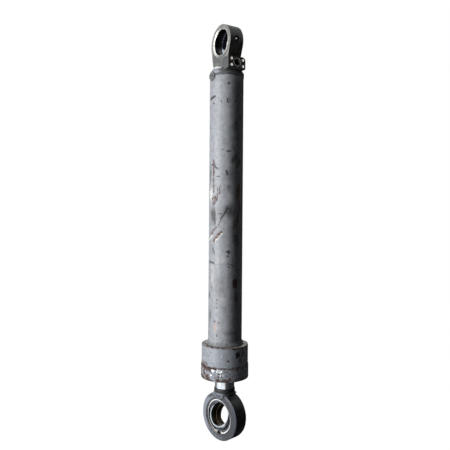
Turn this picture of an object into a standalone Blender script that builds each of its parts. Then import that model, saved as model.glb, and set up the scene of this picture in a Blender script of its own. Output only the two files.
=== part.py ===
"""Two-stage telescopic hydraulic cylinder, shown closed.

Origin: centre of the base eye's pin bore. +Z runs up, away from the barrel, so the barrel, gland and rod hang
below the origin. The base eye's bore runs along Y and its machined front face looks along -Y. The port pad looks
along +X. All named dimensions are in millimetres; MM turns them into metres.
"""

import math

import bmesh
import bpy
from mathutils import Matrix, Vector

MM = 0.001

# ---------------------------------------------------------------- facets
N_BIG = 32  # large round faces and everything that they fit
N_SMALL = 20  # sealed rings, screws and nipples
N_HOLE = 16

# ---------------------------------------------------------------- running gaps
GAP = 0.3

# ---------------------------------------------------------------- base eye and end cap
EYE_R, EYE_CENTRE_Z = 65.3, -2.5  # the head is struck a little below the bore
EYE_HALF = 27.0
EYE_EDGE = 1.6
BUSH_R = 50.0
BUSH_BORE_R = 45.0
BUSH_IN, BUSH_OUT = 7.0, 26.4
APRON = ((-58.0, -49.0), (-52.0, -72.0), (-44.0, -84.0), (-40.0, -97.0))
WAIST = ((40.0, -97.0), (51.0, -84.0), (50.0, -57.0))
CAP_TOP_R, CAP_TOP_Z = 46.8, -90.0
CAP_LIP_R, CAP_LIP_Z = 62.3, -111.4
CAP_SEAM_Z = -119.2
SPIGOT_R, SPIGOT_Z = 52.1, -135.0

# port pad with four tapped holes
PAD_X0, PAD_X1 = 28.0, 66.0
PAD_HALF = 36.0
PAD_TOP, PAD_BOTTOM = -62.0, -106.0
PAD_ROUND = 12.0
PORT_Z = -83.0
PORT_R = 9.5
PORT_BOLT_Y, PORT_BOLT_Z = 23.8, 11.1
PORT_BOLT_R, PORT_BOLT_DEEP = 4.4, 20.0

# recessed grease nipple of the base eye
NIPPLE_POCKET_R, NIPPLE_POCKET_X = 10.5, 57.5

# bleed boss on the -Y side, across the seam between cap and tube
BLEED_Z = -126.0
BLEED_R = 17.0
BLEED_OUT = 66.0
BLEED_SCREW_R = 5.0

# ---------------------------------------------------------------- barrel
TUBE_R, TUBE_BORE_R = 60.5, 52.5
TUBE_TOP, TUBE_END = -121.0, -1100.0
COLLAR_R, COLLAR_TOP, COLLAR_END = 83.2, -1076.6, -1147.2
COLLAR_THREAD_R = 66.3
FILLET_TOP, FILLET_R = -1062.5, 66.5

# ---------------------------------------------------------------- gland nut
GLAND_R, GLAND_TOP, GLAND_END = 85.0, -1147.5, -1193.6
GLAND_SPIGOT_R, GLAND_SPIGOT_TOP = 66.0, -1101.0
GLAND_BORE_R = 45.8
SET_SCREW_Z = -1170.0

# ---------------------------------------------------------------- stage
STAGE_R, STAGE_BORE_R = 45.5, 38.5
STAGE_TOP, STAGE_END = -150.0, -1193.9
STAGE_SEAT_R, STAGE_SEAT_Z = 41.8, -1119.6
STAGE_RING_R, STAGE_RING_TOP, STAGE_RING_END = 51.9, -160.0, -200.0
SLEEVE_R, SLEEVE_BORE_R = 41.5, 35.4
SLEEVE_TOP, SLEEVE_FLANGE_R, SLEEVE_END = -1120.0, 50.0, -1202.0

# ---------------------------------------------------------------- rod
ROD_R, ROD_BORE_R = 35.0, 25.0
ROD_TOP, ROD_END = -165.0, -1240.0
ROD_RING_R, ROD_RING_TOP, ROD_RING_END = 38.0, -180.0, -219.5

# ---------------------------------------------------------------- rod eye and bearing
ROD_EYE_Z = -1333.6
ROD_EYE_R, ROD_EYE_FACE_R = 85.0, 79.0
ROD_EYE_HALF, ROD_EYE_RIM_HALF = 31.5, 26.0
ROD_EYE_TURN = math.radians(13.0)
NECK_R, NECK_TOP = 37.0, -1247.4
BEARING_R, BEARING_HALF = 60.0, 22.5
BALL_R, BALL_BORE_R, BALL_HALF = 52.5, 40.0, 27.5
BALL_GAP = 0.6
BALL_TILT = math.radians(-18.0)
CLIP_IN_R, CLIP_OUT_R = 55.5, 61.6
CLIP_NEAR, CLIP_FAR = 22.9, 26.4


# ================================================================ helpers
def clear_scene():
    for obj in list(bpy.data.objects):
        bpy.data.objects.remove(obj, do_unlink=True)


def material(name, colour, metallic, roughness):
    mat = bpy.data.materials.new(name)
    mat.use_nodes = True
    shader = mat.node_tree.nodes["Principled BSDF"]
    shader.inputs["Base Color"].default_value = (*colour, 1.0)
    shader.inputs["Metallic"].default_value = metallic
    shader.inputs["Roughness"].default_value = roughness
    mat.diffuse_color = (*colour, 1.0)
    return mat


def about_z():
    """A lathe frame whose axis is the cylinder's own axis."""
    return Matrix.Identity(4)


def about(axis, centre=(0.0, 0.0, 0.0)):
    """A lathe frame whose local Z runs along axis, with its zero at centre (mm)."""
    turn = Vector((0, 0, 1)).rotation_difference(Vector(axis)).to_matrix().to_4x4()
    return Matrix.Translation(Vector(centre)) @ turn


def rod_eye_frame():
    """X' across the rod eye, Y' along its bore, Z up, zero at the eye's centre."""
    return Matrix.Translation((0, 0, ROD_EYE_Z)) @ Matrix.Rotation(ROD_EYE_TURN, 4, "Z")


def bore(radius, sides):
    """The corner radius of a round hole whose flats lie at radius."""
    return radius / math.cos(math.pi / sides)


def finish(name, bm, frame, mat, smooth=True):
    bmesh.ops.remove_doubles(bm, verts=bm.verts, dist=1e-5)
    bmesh.ops.recalc_face_normals(bm, faces=bm.faces)
    if bm.calc_volume(signed=True) < 0:
        bmesh.ops.reverse_faces(bm, faces=bm.faces)
    bmesh.ops.transform(bm, matrix=Matrix.Scale(MM, 4) @ frame, verts=bm.verts)
    mesh = bpy.data.meshes.new(name)
    bm.to_mesh(mesh)
    bm.free()
    if smooth:
        mesh.polygons.foreach_set("use_smooth", [True] * len(mesh.polygons))
        mesh.set_sharp_from_angle(angle=math.radians(35))
    obj = bpy.data.objects.new(name, mesh)
    bpy.context.scene.collection.objects.link(obj)
    if mat:
        mesh.materials.append(mat)
    return obj


def lathe(name, profile, frame, mat, sides=N_BIG):
    """Turns a closed (radius, height) outline about the frame's Z axis. Points on the axis become one vertex."""
    bm = bmesh.new()
    rings = []
    for r, z in profile:
        if r < 1e-6:
            rings.append([bm.verts.new((0, 0, z))])
        else:
            rings.append(
                [
                    bm.verts.new(
                        (
                            r * math.cos(2 * math.pi * i / sides),
                            r * math.sin(2 * math.pi * i / sides),
                            z,
                        )
                    )
                    for i in range(sides)
                ]
            )
    for k, ring in enumerate(rings):
        other = rings[(k + 1) % len(rings)]
        if len(ring) == 1 and len(other) == 1:
            continue
        for i in range(sides):
            j = (i + 1) % sides
            corners = [
                ring[i % len(ring)],
                ring[j % len(ring)],
                other[j % len(other)],
                other[i % len(other)],
            ]
            face = []
            for corner in corners:
                if corner not in face:
                    face.append(corner)
            bm.faces.new(face)
    return finish(name, bm, frame, mat)


def prism(name, outline, low, high, frame, mat, smooth=True):
    """Pushes a closed (x, y) outline from low to high along the frame's Z axis."""
    bm = bmesh.new()
    lower = [bm.verts.new((x, y, low)) for x, y in outline]
    upper = [bm.verts.new((x, y, high)) for x, y in outline]
    count = len(outline)
    bm.faces.new(list(reversed(lower)))
    bm.faces.new(upper)
    for i in range(count):
        j = (i + 1) % count
        bm.faces.new((lower[i], lower[j], upper[j], upper[i]))
    return finish(name, bm, frame, mat, smooth)


def drill(name, radius, low, high, frame, sides=N_HOLE):
    """A helper cylinder for a hole whose flats lie at radius."""
    r = bore(radius, sides)
    return helper(lathe(name, [(0, low), (r, low), (r, high), (0, high)], frame, None, sides))


def helper(obj):
    obj.hide_render = True
    obj.display_type = "WIRE"
    return obj


def combine(obj, other, operation):
    helper(other)
    mod = obj.modifiers.new(f"{operation.lower()}_{other.name}", "BOOLEAN")
    mod.operation = operation
    mod.solver = "EXACT"
    mod.object = other


def arc(cx, cy, radius, start, end, steps):
    """Points from angle start to end (degrees) round (cx, cy)."""
    return [
        (
            cx + radius * math.cos(math.radians(start + (end - start) * i / steps)),
            cy + radius * math.sin(math.radians(start + (end - start) * i / steps)),
        )
        for i in range(steps + 1)
    ]


# ================================================================ base eye with end cap and port pad
def along_y_frame():
    """Maps (x, y, z) of a flat outline to world (x, -z, y): outlines are drawn in XZ and pushed along -Y."""
    return Matrix.Rotation(math.radians(90), 4, "X")


def eye_outline(shrink=0.0):
    """The eye's head and flanks in XZ, from the waist on +X over the top to the apron on -X."""
    r = EYE_R - shrink
    head = arc(0, EYE_CENTRE_Z, r, -26, 200, 28)
    left = [(x + shrink, z) for x, z in APRON]
    right = [(x - shrink, z) for x, z in WAIST]
    return right + head + left


def build_base_eye(mat):
    # the head: a straight band with a small bevel to each machined face
    bm = bmesh.new()
    layers = []
    for depth, shrink in (
        (-EYE_HALF, EYE_EDGE),
        (-EYE_HALF + EYE_EDGE, 0.0),
        (EYE_HALF - EYE_EDGE, 0.0),
        (EYE_HALF, EYE_EDGE),
    ):
        layers.append([bm.verts.new((x, z, depth)) for x, z in eye_outline(shrink)])
    bm.faces.new(list(reversed(layers[0])))
    bm.faces.new(layers[-1])
    for low, high in zip(layers, layers[1:]):
        for i in range(len(low)):
            j = (i + 1) % len(low)
            bm.faces.new((low[i], low[j], high[j], high[i]))
    eye = finish("base_eye", bm, along_y_frame(), mat)

    cap = lathe(
        "base_cap_body",
        [
            (0, -78.0),
            (36.0, -82.5),
            (CAP_TOP_R, CAP_TOP_Z),
            (CAP_LIP_R - 1.2, CAP_LIP_Z + 1.6),
            (CAP_LIP_R, CAP_LIP_Z - 0.6),
            (CAP_LIP_R, CAP_SEAM_Z + 0.8),
            (CAP_LIP_R - 1.0, CAP_SEAM_Z),
            (SPIGOT_R, CAP_SEAM_Z),
            (SPIGOT_R, SPIGOT_Z),
            (0, SPIGOT_Z),
        ],
        about_z(),
        None,
    )
    combine(eye, cap, "UNION")

    # port pad: outline in YZ, pushed along X
    outline = (
        [(-PAD_HALF, PAD_BOTTOM + 3), (-PAD_HALF + 3, PAD_BOTTOM)]
        + [(PAD_HALF - 6, PAD_BOTTOM), (PAD_HALF, PAD_BOTTOM + 6)]
        + arc(PAD_HALF - PAD_ROUND, PAD_TOP - PAD_ROUND, PAD_ROUND, 0, 90, 8)
        + arc(-PAD_HALF + 3, PAD_TOP - 3, 3, 90, 180, 3)
    )
    along_x = Matrix(((0, 0, 1, 0), (1, 0, 0, 0), (0, 1, 0, 0), (0, 0, 0, 1)))
    pad = prism("port_pad_body", outline, PAD_X0, PAD_X1, along_x, None)
    combine(eye, pad, "UNION")

    # bush seat, grease pocket and grease hole
    combine(eye, drill("cut_bush_seat", BUSH_R + GAP, -40, 40, about((0, 1, 0)), N_BIG), "DIFFERENCE")
    combine(
        eye,
        drill("cut_nipple_pocket", NIPPLE_POCKET_R, NIPPLE_POCKET_X, 80, about((1, 0, 0))),
        "DIFFERENCE",
    )
    combine(eye, drill("cut_nipple_thread", 3.3, 44, 62, about((1, 0, 0)), 16), "DIFFERENCE")
    # oil way: across from the port face, then down to the barrel
    combine(eye, drill("cut_port", PORT_R, 0, 80, about((1, 0, 0), (0, 0, PORT_Z))), "DIFFERENCE")
    combine(
        eye,
        drill("cut_oil_way", PORT_R, 0, 60, about((0, 0, -1), (0, 0, PORT_Z))),
        "DIFFERENCE",
    )
    for i, (sy, sz) in enumerate(((-1, 1), (1, 1), (1, -1), (-1, -1))):
        at = (PAD_X1 - PORT_BOLT_DEEP, sy * PORT_BOLT_Y, PORT_Z + sz * PORT_BOLT_Z)
        hole = drill(f"cut_port_bolt_{i}", PORT_BOLT_R, 0, 40, about((1, 0, 0), at), 16)
        combine(eye, hole, "DIFFERENCE")
    # bleed way, from the central oil way out to the bleed screw
    way = drill("cut_bleed_way", 3.0, 0, 70, about((0, -1, 0), (0, 0, BLEED_Z)), 16)
    combine(eye, way, "DIFFERENCE")
    return eye


def build_base_trim(steel, bronze):
    for name, side in (("base_bush_front", -1), ("base_bush_rear", 1)):
        inner = bore(BUSH_BORE_R, N_BIG)
        lathe(
            name,
            [
                (inner, BUSH_IN + 1),
                (inner + 1, BUSH_IN),
                (BUSH_R - 1, BUSH_IN),
                (BUSH_R, BUSH_IN + 1),
                (BUSH_R, BUSH_OUT),
                (inner + 1.6, BUSH_OUT),
                (inner, BUSH_OUT - 1.6),
            ],
            about((0, side, 0)),
            bronze,
        )
    lathe(
        "base_grease_nipple",
        [
            (0, 50.8),
            (2.9, 50.8),
            (2.9, 57.8),
            (5.2, 57.8),
            (5.2, 61.0),
            (2.6, 61.6),
            (2.1, 62.6),
            (3.1, 63.4),
            (3.1, 64.6),
            (1.6, 65.6),
            (0, 65.6),
        ],
        about((1, 0, 0)),
        steel,
        16,
    )


def build_bleed(paint, steel):
    boss = lathe(
        "bleed_boss",
        [
            (bore(BLEED_SCREW_R + GAP, 16), 55.0),
            (BLEED_R, 50.0),
            (BLEED_R, BLEED_OUT - 3.2),
            (BLEED_R - 1.2, BLEED_OUT - 1.2),
            (BLEED_R - 4.0, BLEED_OUT),
            (10.2, BLEED_OUT),
            (9.4, BLEED_OUT - 2.4),
            (bore(BLEED_SCREW_R + GAP, 16), BLEED_OUT - 2.4),
        ],
        about((0, -1, 0), (0, 0, BLEED_Z)),
        paint,
        N_SMALL,
    )
    shell = lathe(
        "cut_bleed_saddle",
        [
            (0, -80),
            (bore(CAP_LIP_R + GAP, N_BIG), -80),
            (bore(CAP_LIP_R + GAP, N_BIG), CAP_SEAM_Z - 0.3),
            (bore(CAP_LIP_R - 0.2, N_BIG), CAP_SEAM_Z - 0.3),
            (bore(CAP_LIP_R - 0.2, N_BIG), -127.5),
            (bore(TUBE_R + GAP, N_BIG), -127.5),
            (bore(TUBE_R + GAP, N_BIG), -170),
            (0, -170),
        ],
        about_z(),
        None,
    )
    combine(boss, shell, "DIFFERENCE")
    lathe(
        "bleed_screw",
        [
            (0, 54.0),
            (BLEED_SCREW_R, 54.0),
            (BLEED_SCREW_R, BLEED_OUT - 2.0),
            (8.2, BLEED_OUT - 2.0),
            (8.2, BLEED_OUT + 0.6),
            (7.6, BLEED_OUT + 1.2),
            (3.4, BLEED_OUT + 1.2),
            (3.4, BLEED_OUT - 2.6),
            (0, BLEED_OUT - 2.6),
        ],
        about((0, -1, 0), (0, 0, BLEED_Z)),
        steel,
        12,
    )


# ================================================================ barrel
def build_barrel(paint, weld):
    inner = bore(TUBE_BORE_R, N_BIG)
    tube = lathe(
        "barrel_tube",
        [
            (inner, TUBE_END),
            (TUBE_R, TUBE_END),
            (TUBE_R, TUBE_TOP - 3.0),
            (TUBE_R - 2.0, TUBE_TOP),
            (inner, TUBE_TOP),
        ],
        about_z(),
        paint,
    )
    combine(
        tube,
        drill("cut_tube_bleed", BLEED_SCREW_R + GAP, 40, 80, about((0, -1, 0), (0, 0, BLEED_Z)), 16),
        "DIFFERENCE",
    )
    seam = bore(TUBE_R + GAP, N_BIG)
    cap_weld = lathe(
        "cap_weld",
        [
            (seam, -126.6),
            (61.2, -127.0),
            (61.9, -124.6),
            (61.8, -121.4),
            (61.2, CAP_SEAM_Z - 0.3),
            (seam - 1.6, CAP_SEAM_Z - 0.3),
            (seam - 1.6, -120.4),
            (seam, -123.4),
        ],
        about_z(),
        weld,
    )
    combine(
        cap_weld,
        drill("cut_weld_bleed", BLEED_SCREW_R + GAP, 40, 80, about((0, -1, 0), (0, 0, BLEED_Z)), 16),
        "DIFFERENCE",
    )
    collar = bore(COLLAR_THREAD_R, N_BIG)
    lathe(
        "barrel_collar",
        [
            (collar, COLLAR_END),
            (COLLAR_R - 1.2, COLLAR_END),
            (COLLAR_R, COLLAR_END + 1.2),
            (COLLAR_R, COLLAR_TOP - 1.6),
            (COLLAR_R - 1.6, COLLAR_TOP),
            (seam, COLLAR_TOP),
            (seam, TUBE_END - 0.4),
            (collar, TUBE_END - 0.4),
        ],
        about_z(),
        paint,
    )
    lathe(
        "collar_weld",
        [
            (seam, COLLAR_TOP + GAP),
            (FILLET_R, COLLAR_TOP + GAP),
            (FILLET_R - 0.8, COLLAR_TOP + 3.0),
            (seam + 0.5, FILLET_TOP - 2.5),
            (seam, FILLET_TOP),
        ],
        about_z(),
        weld,
    )


# ================================================================ gland nut and its rings
def build_gland(paint, steel, plastic, rubber):
    inner = bore(GLAND_BORE_R, N_BIG)
    groove = bore(49.4, N_BIG)
    nut = lathe(
        "gland_nut",
        [
            (inner, GLAND_SPIGOT_TOP),
            (GLAND_SPIGOT_R, GLAND_SPIGOT_TOP),
            (GLAND_SPIGOT_R, GLAND_TOP + 9.0),
            (GLAND_SPIGOT_R - 3.2, GLAND_TOP + 9.0),
            (GLAND_SPIGOT_R - 3.2, GLAND_TOP + 3.6),
            (GLAND_SPIGOT_R, GLAND_TOP + 3.6),
            (GLAND_SPIGOT_R, GLAND_TOP),
            (GLAND_R - 0.8, GLAND_TOP),
            (GLAND_R, GLAND_TOP - 0.8),
            (GLAND_R, GLAND_END + 1.4),
            (GLAND_R - 1.4, GLAND_END),
            (groove + 1.6, GLAND_END),
            (groove + 1.6, GLAND_END + 8.0),
            (inner, GLAND_END + 8.0),
            (inner, -1170.0),
            (groove, -1170.0),
            (groove, -1158.0),
            (inner, -1158.0),
            (inner, -1150.0),
            (groove, -1150.0),
            (groove, -1130.0),
            (inner, -1130.0),
            (inner, -1126.0),
            (groove, -1126.0),
            (groove, -1106.0),
            (inner, -1106.0),
        ],
        about_z(),
        paint,
    )
    front = (0.7965, -0.6046, 0.0)
    combine(
        nut,
        drill("cut_set_screw", 6.3, 66.0, 100, about(front, (0, 0, SET_SCREW_Z)), 16),
        "DIFFERENCE",
    )
    # one grub screw, turned in flush with the nut's outside
    lathe(
        "gland_set_screw",
        [
            (0, 66.6),
            (6.0, 66.6),
            (6.0, 82.2),
            (5.4, 82.8),
            (2.9, 82.8),
            (2.9, 77.0),
            (0, 77.0),
        ],
        about(front, (0, 0, SET_SCREW_Z)),
        steel,
        12,
    )
    lip = bore(STAGE_R + 0.12, N_SMALL)
    for name, high in (("gland_guide_ring_upper", -1106.4), ("gland_guide_ring_lower", -1130.4)):
        lathe(
            name,
            [(lip, high - 19.2), (49.1, high - 19.2), (49.1, high), (lip, high)],
            about_z(),
            plastic,
            N_SMALL,
        )
    lathe(
        "gland_seal",
        [(lip, -1169.6), (49.1, -1169.6), (49.1, -1158.4), (lip, -1158.4)],
        about_z(),
        rubber,
        N_SMALL,
    )
    lathe(
        "gland_wiper",
        [
            (lip, GLAND_END - 1.2),
            (lip + 1.6, GLAND_END - 1.2),
            (50.6, GLAND_END + 0.4),
            (50.6, GLAND_END + 7.6),
            (lip, GLAND_END + 7.6),
        ],
        about_z(),
        rubber,
        N_SMALL,
    )
    o_in = bore(GLAND_SPIGOT_R - 2.9, N_SMALL)
    lathe(
        "gland_o_ring",
        [
            (o_in, GLAND_TOP + 4.0),
            (65.8, GLAND_TOP + 4.0),
            (65.8, GLAND_TOP + 8.6),
            (o_in, GLAND_TOP + 8.6),
        ],
        about_z(),
        rubber,
        N_SMALL,
    )


# ================================================================ moving stage
def build_stage(chrome, steel, plastic, rubber):
    inner = bore(STAGE_BORE_R, N_BIG)
    seat = bore(STAGE_SEAT_R, N_BIG)
    lathe(
        "stage_tube",
        [
            (seat, STAGE_END),
            (STAGE_R, STAGE_END),
            (STAGE_R, -159.6),
            (STAGE_R - 1.9, -159.6),
            (STAGE_R - 1.9, -155.6),
            (STAGE_R, -155.6),
            (STAGE_R, STAGE_TOP),
            (inner, STAGE_TOP),
            (inner, STAGE_SEAT_Z),
            (seat, STAGE_SEAT_Z),
        ],
        about_z(),
        chrome,
    )
    ring_in = bore(STAGE_R + GAP, N_BIG)
    lathe(
        "stage_stop_ring",
        [
            (ring_in, STAGE_RING_END),
            (STAGE_RING_R, STAGE_RING_END),
            (STAGE_RING_R, -190.0),
            (STAGE_RING_R - 2.4, -190.0),
            (STAGE_RING_R - 2.4, -170.0),
            (STAGE_RING_R, -170.0),
            (STAGE_RING_R, STAGE_RING_TOP),
            (ring_in, STAGE_RING_TOP),
        ],
        about_z(),
        steel,
    )
    band_in = bore(STAGE_RING_R - 2.1, N_SMALL)
    lathe(
        "stage_wear_band",
        [
            (band_in, -189.6),
            (TUBE_BORE_R - 0.2, -189.6),
            (TUBE_BORE_R - 0.2, -170.4),
            (band_in, -170.4),
        ],
        about_z(),
        plastic,
        N_SMALL,
    )
    snap_in = bore(STAGE_R - 1.6, N_SMALL)
    lathe(
        "stage_snap_ring",
        [(snap_in, -159.2), (49.0, -159.2), (49.0, -156.0), (snap_in, -156.0)],
        about_z(),
        steel,
        N_SMALL,
    )
    # bearing sleeve screwed into the open end of the stage, with its flange against the stage's end face
    bore_in = bore(SLEEVE_BORE_R, N_BIG)
    groove = bore(38.4, N_BIG)
    lathe(
        "stage_gland",
        [
            (bore_in, SLEEVE_TOP),
            (SLEEVE_R, SLEEVE_TOP),
            (SLEEVE_R, -1180.0),
            (SLEEVE_R - 2.2, -1180.0),
            (SLEEVE_R - 2.2, -1184.4),
            (SLEEVE_R, -1184.4),
            (SLEEVE_R, STAGE_END - GAP),
            (44.6, STAGE_END - GAP),
            (SLEEVE_FLANGE_R - 4.8, STAGE_END - 1.4),
            (SLEEVE_FLANGE_R - 4.8, SLEEVE_END + 1.0),
            (SLEEVE_FLANGE_R - 5.8, SLEEVE_END),
            (groove + 0.8, SLEEVE_END),
            (groove + 0.8, SLEEVE_END + 7.0),
            (bore_in, SLEEVE_END + 7.0),
            (bore_in, -1174.0),
            (groove, -1174.0),
            (groove, -1163.0),
            (bore_in, -1163.0),
            (bore_in, -1150.0),
            (groove, -1150.0),
            (groove, -1128.0),
            (bore_in, -1128.0),
        ],
        about_z(),
        steel,
    )
    lip = bore(ROD_R + 0.12, N_SMALL)
    lathe(
        "stage_guide_ring",
        [(lip, -1149.6), (38.1, -1149.6), (38.1, -1128.4), (lip, -1128.4)],
        about_z(),
        plastic,
        N_SMALL,
    )
    lathe(
        "stage_seal",
        [(lip, -1173.6), (38.1, -1173.6), (38.1, -1163.4), (lip, -1163.4)],
        about_z(),
        rubber,
        N_SMALL,
    )
    lathe(
        "stage_wiper",
        [
            (lip, SLEEVE_END - 1.0),
            (lip + 1.4, SLEEVE_END - 1.0),
            (38.8, SLEEVE_END + 0.4),
            (38.8, SLEEVE_END + 6.6),
            (lip, SLEEVE_END + 6.6),
        ],
        about_z(),
        rubber,
        N_SMALL,
    )
    o_in = bore(SLEEVE_R - 1.9, N_SMALL)
    lathe(
        "stage_o_ring",
        [(o_in, -1184.0), (41.4, -1184.0), (41.4, -1180.4), (o_in, -1180.4)],
        about_z(),
        rubber,
        N_SMALL,
    )


# ================================================================ rod
def build_rod(chrome, steel, plastic, weld):
    inner = bore(ROD_BORE_R, N_BIG)
    lathe(
        "rod_tube",
        [
            (inner, ROD_END),
            (ROD_R, ROD_END),
            (ROD_R, -179.6),
            (ROD_R - 1.6, -179.6),
            (ROD_R - 1.6, -175.6),
            (ROD_R, -175.6),
            (ROD_R, ROD_TOP),
            (inner, ROD_TOP),
        ],
        about_z(),
        chrome,
    )
    ring_in = bore(ROD_R + GAP, N_BIG)
    lathe(
        "rod_stop_ring",
        [
            (ring_in, ROD_RING_END),
            (ROD_RING_R, ROD_RING_END),
            (ROD_RING_R, -209.0),
            (ROD_RING_R - 1.5, -209.0),
            (ROD_RING_R - 1.5, -191.0),
            (ROD_RING_R, -191.0),
            (ROD_RING_R, ROD_RING_TOP),
            (ring_in, ROD_RING_TOP),
        ],
        about_z(),
        steel,
    )
    band_in = bore(ROD_RING_R - 1.2, N_SMALL)
    lathe(
        "rod_wear_band",
        [
            (band_in, -208.6),
            (STAGE_BORE_R - 0.2, -208.6),
            (STAGE_BORE_R - 0.2, -191.4),
            (band_in, -191.4),
        ],
        about_z(),
        plastic,
        N_SMALL,
    )
    snap_in = bore(ROD_R - 1.3, N_SMALL)
    lathe(
        "rod_snap_ring",
        [(snap_in, -179.2), (37.4, -179.2), (37.4, -176.0), (snap_in, -176.0)],
        about_z(),
        steel,
        N_SMALL,
    )
    lathe(
        "rod_eye_weld",
        [
            (ring_in, -1246.9),
            (36.6, -1246.9),
            (37.5, -1243.0),
            (37.2, -1237.0),
            (ring_in + 0.4, -1232.5),
            (ring_in, -1232.5),
        ],
        about_z(),
        weld,
    )


# ================================================================ rod eye
def build_rod_eye(paint, steel):
    frame = rod_eye_frame()
    along_bore = frame @ about((0, 1, 0))
    eye = lathe(
        "rod_eye",
        [
            (0, -ROD_EYE_HALF),
            (ROD_EYE_FACE_R, -ROD_EYE_HALF),
            (ROD_EYE_R - 1.2, -ROD_EYE_RIM_HALF - 1.0),
            (ROD_EYE_R, -ROD_EYE_RIM_HALF + 1.0),
            (ROD_EYE_R, ROD_EYE_RIM_HALF - 1.0),
            (ROD_EYE_R - 1.2, ROD_EYE_RIM_HALF + 1.0),
            (ROD_EYE_FACE_R, ROD_EYE_HALF),
            (0, ROD_EYE_HALF),
        ],
        along_bore,
        paint,
        48,
    )
    # round shoulder between the rod's end and the ring: wider than the ring, so it narrows down to the machined faces
    shoulder = lathe(
        "rod_eye_shoulder",
        [
            (0, -1222.5),
            (24.6, -1222.5),
            (24.6, -1240.4),
            (33.0, -1240.4),
            (34.6, -1242.5),
            (34.6, NECK_TOP),
            (NECK_R, NECK_TOP),
            (39.4, -1250.5),
            (40.2, -1254.5),
            (38.6, -1258.5),
            (27.0, -1274.0),
            (0, -1274.0),
        ],
        about_z(),
        None,
    )
    combine(eye, shoulder, "UNION")
    seat = bore(BEARING_R + GAP, 48)
    groove = bore(CLIP_OUT_R + 0.5, 48)
    cutter = lathe(
        "cut_bearing_seat",
        [
            (0, -40),
            (seat, -40),
            (seat, -CLIP_FAR - 0.3),
            (groove, -CLIP_FAR - 0.3),
            (groove, -CLIP_NEAR + 0.3),
            (seat, -CLIP_NEAR + 0.3),
            (seat, CLIP_NEAR - 0.3),
            (groove, CLIP_NEAR - 0.3),
            (groove, CLIP_FAR + 0.3),
            (seat, CLIP_FAR + 0.3),
            (seat, 40),
            (0, 40),
        ],
        along_bore,
        None,
        48,
    )
    side = frame @ about((-1, 0, 0))
    combine(eye, drill("cut_rod_nipple_flat", 9.0, 82.5, 100, side), "DIFFERENCE")
    combine(eye, drill("cut_rod_nipple", 3.3, 40, 100, side, 16), "DIFFERENCE")
    combine(eye, cutter, "DIFFERENCE")
    lathe(
        "rod_grease_nipple",
        [
            (0, 62.0),
            (2.9, 62.0),
            (2.9, 82.8),
            (5.2, 82.8),
            (5.2, 86.0),
            (2.6, 86.6),
            (2.1, 87.6),
            (3.1, 88.4),
            (3.1, 89.6),
            (1.6, 90.6),
            (0, 90.6),
        ],
        side,
        steel,
        16,
    )
    return eye


def sphere_part(radius, half, steps, sign):
    """(radius, height) points along a sphere between heights -half and half."""
    reach = math.asin(half / radius)
    return [
        (radius * math.cos(a), sign * radius * math.sin(a))
        for a in (reach * (2 * i / steps - 1) for i in range(steps + 1))
    ]


def build_bearing(steel, race):
    frame = rod_eye_frame()
    along_bore = frame @ about((0, 1, 0))
    socket = [(bore(BALL_R + BALL_GAP, N_BIG), 0)]
    scale = socket[0][0] / (BALL_R + BALL_GAP)
    hollow = [(r * scale, z) for r, z in sphere_part(BALL_R + BALL_GAP, BEARING_HALF, 8, 1)]
    lathe(
        "bearing_outer_ring",
        [
            (BEARING_R - 1.0, BEARING_HALF),
            (BEARING_R, BEARING_HALF - 1.0),
            (BEARING_R, -BEARING_HALF + 1.0),
            (BEARING_R - 1.0, -BEARING_HALF),
        ]
        + hollow,
        along_bore,
        race,
    )
    tilt = frame @ Matrix.Rotation(BALL_TILT, 4, "X") @ about((0, 1, 0))
    inner = bore(BALL_BORE_R, N_BIG)
    lathe(
        "bearing_inner_ring",
        [
            (inner + 1.2, BALL_HALF),
            (inner, BALL_HALF - 1.2),
            (inner, 2.2),
            (inner + 1.6, 1.4),
            (inner + 1.6, -1.4),
            (inner, -2.2),
            (inner, -BALL_HALF + 1.2),
            (inner + 1.2, -BALL_HALF),
        ]
        + sphere_part(BALL_R, BALL_HALF, 10, 1),
        tilt,
        steel,
    )
    # split retaining rings with an ear on each side of the gap, gap at the bottom
    outline = (
        arc(0, 0, CLIP_OUT_R, -90 + 9, 270 - 9, 36)
        + arc(0, 0, CLIP_IN_R - 2.6, 270 - 9, 270 - 17, 2)
        + arc(0, 0, CLIP_IN_R, 270 - 19, -90 + 19, 34)
        + arc(0, 0, CLIP_IN_R - 2.6, -90 + 17, -90 + 9, 2)
    )
    draw = frame @ along_y_frame()
    for name, low, high in (
        ("circlip_front", CLIP_NEAR, CLIP_FAR),
        ("circlip_rear", -CLIP_FAR, -CLIP_NEAR),
    ):
        prism(name, outline, low, high, draw, race)


def main():
    clear_scene()
    paint = material("grey_paint", (0.30, 0.33, 0.36), 0.0, 0.42)
    weld = material("painted_weld", (0.22, 0.24, 0.26), 0.0, 0.5)
    worn = material("worn_gland_paint", (0.24, 0.22, 0.20), 0.0, 0.55)
    cast = material("oily_forging", (0.10, 0.10, 0.11), 0.6, 0.45)
    steel = material("machined_steel", (0.45, 0.45, 0.45), 1.0, 0.35)
    race = material("bearing_steel", (0.40, 0.40, 0.42), 1.0, 0.25)
    chrome = material("hard_chrome", (0.70, 0.72, 0.74), 1.0, 0.12)
    bronze = material("bush_steel", (0.30, 0.31, 0.33), 1.0, 0.35)
    plastic = material("guide_ring_plastic", (0.25, 0.16, 0.08), 0.0, 0.55)
    rubber = material("seal_rubber", (0.03, 0.03, 0.03), 0.0, 0.6)

    build_base_eye(paint)
    build_base_trim(steel, bronze)
    build_bleed(paint, steel)
    build_barrel(paint, weld)
    build_gland(worn, steel, plastic, rubber)
    build_stage(chrome, steel, plastic, rubber)
    build_rod(chrome, steel, plastic, weld)
    build_rod_eye(cast, steel)
    build_bearing(steel, race)


main()
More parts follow.
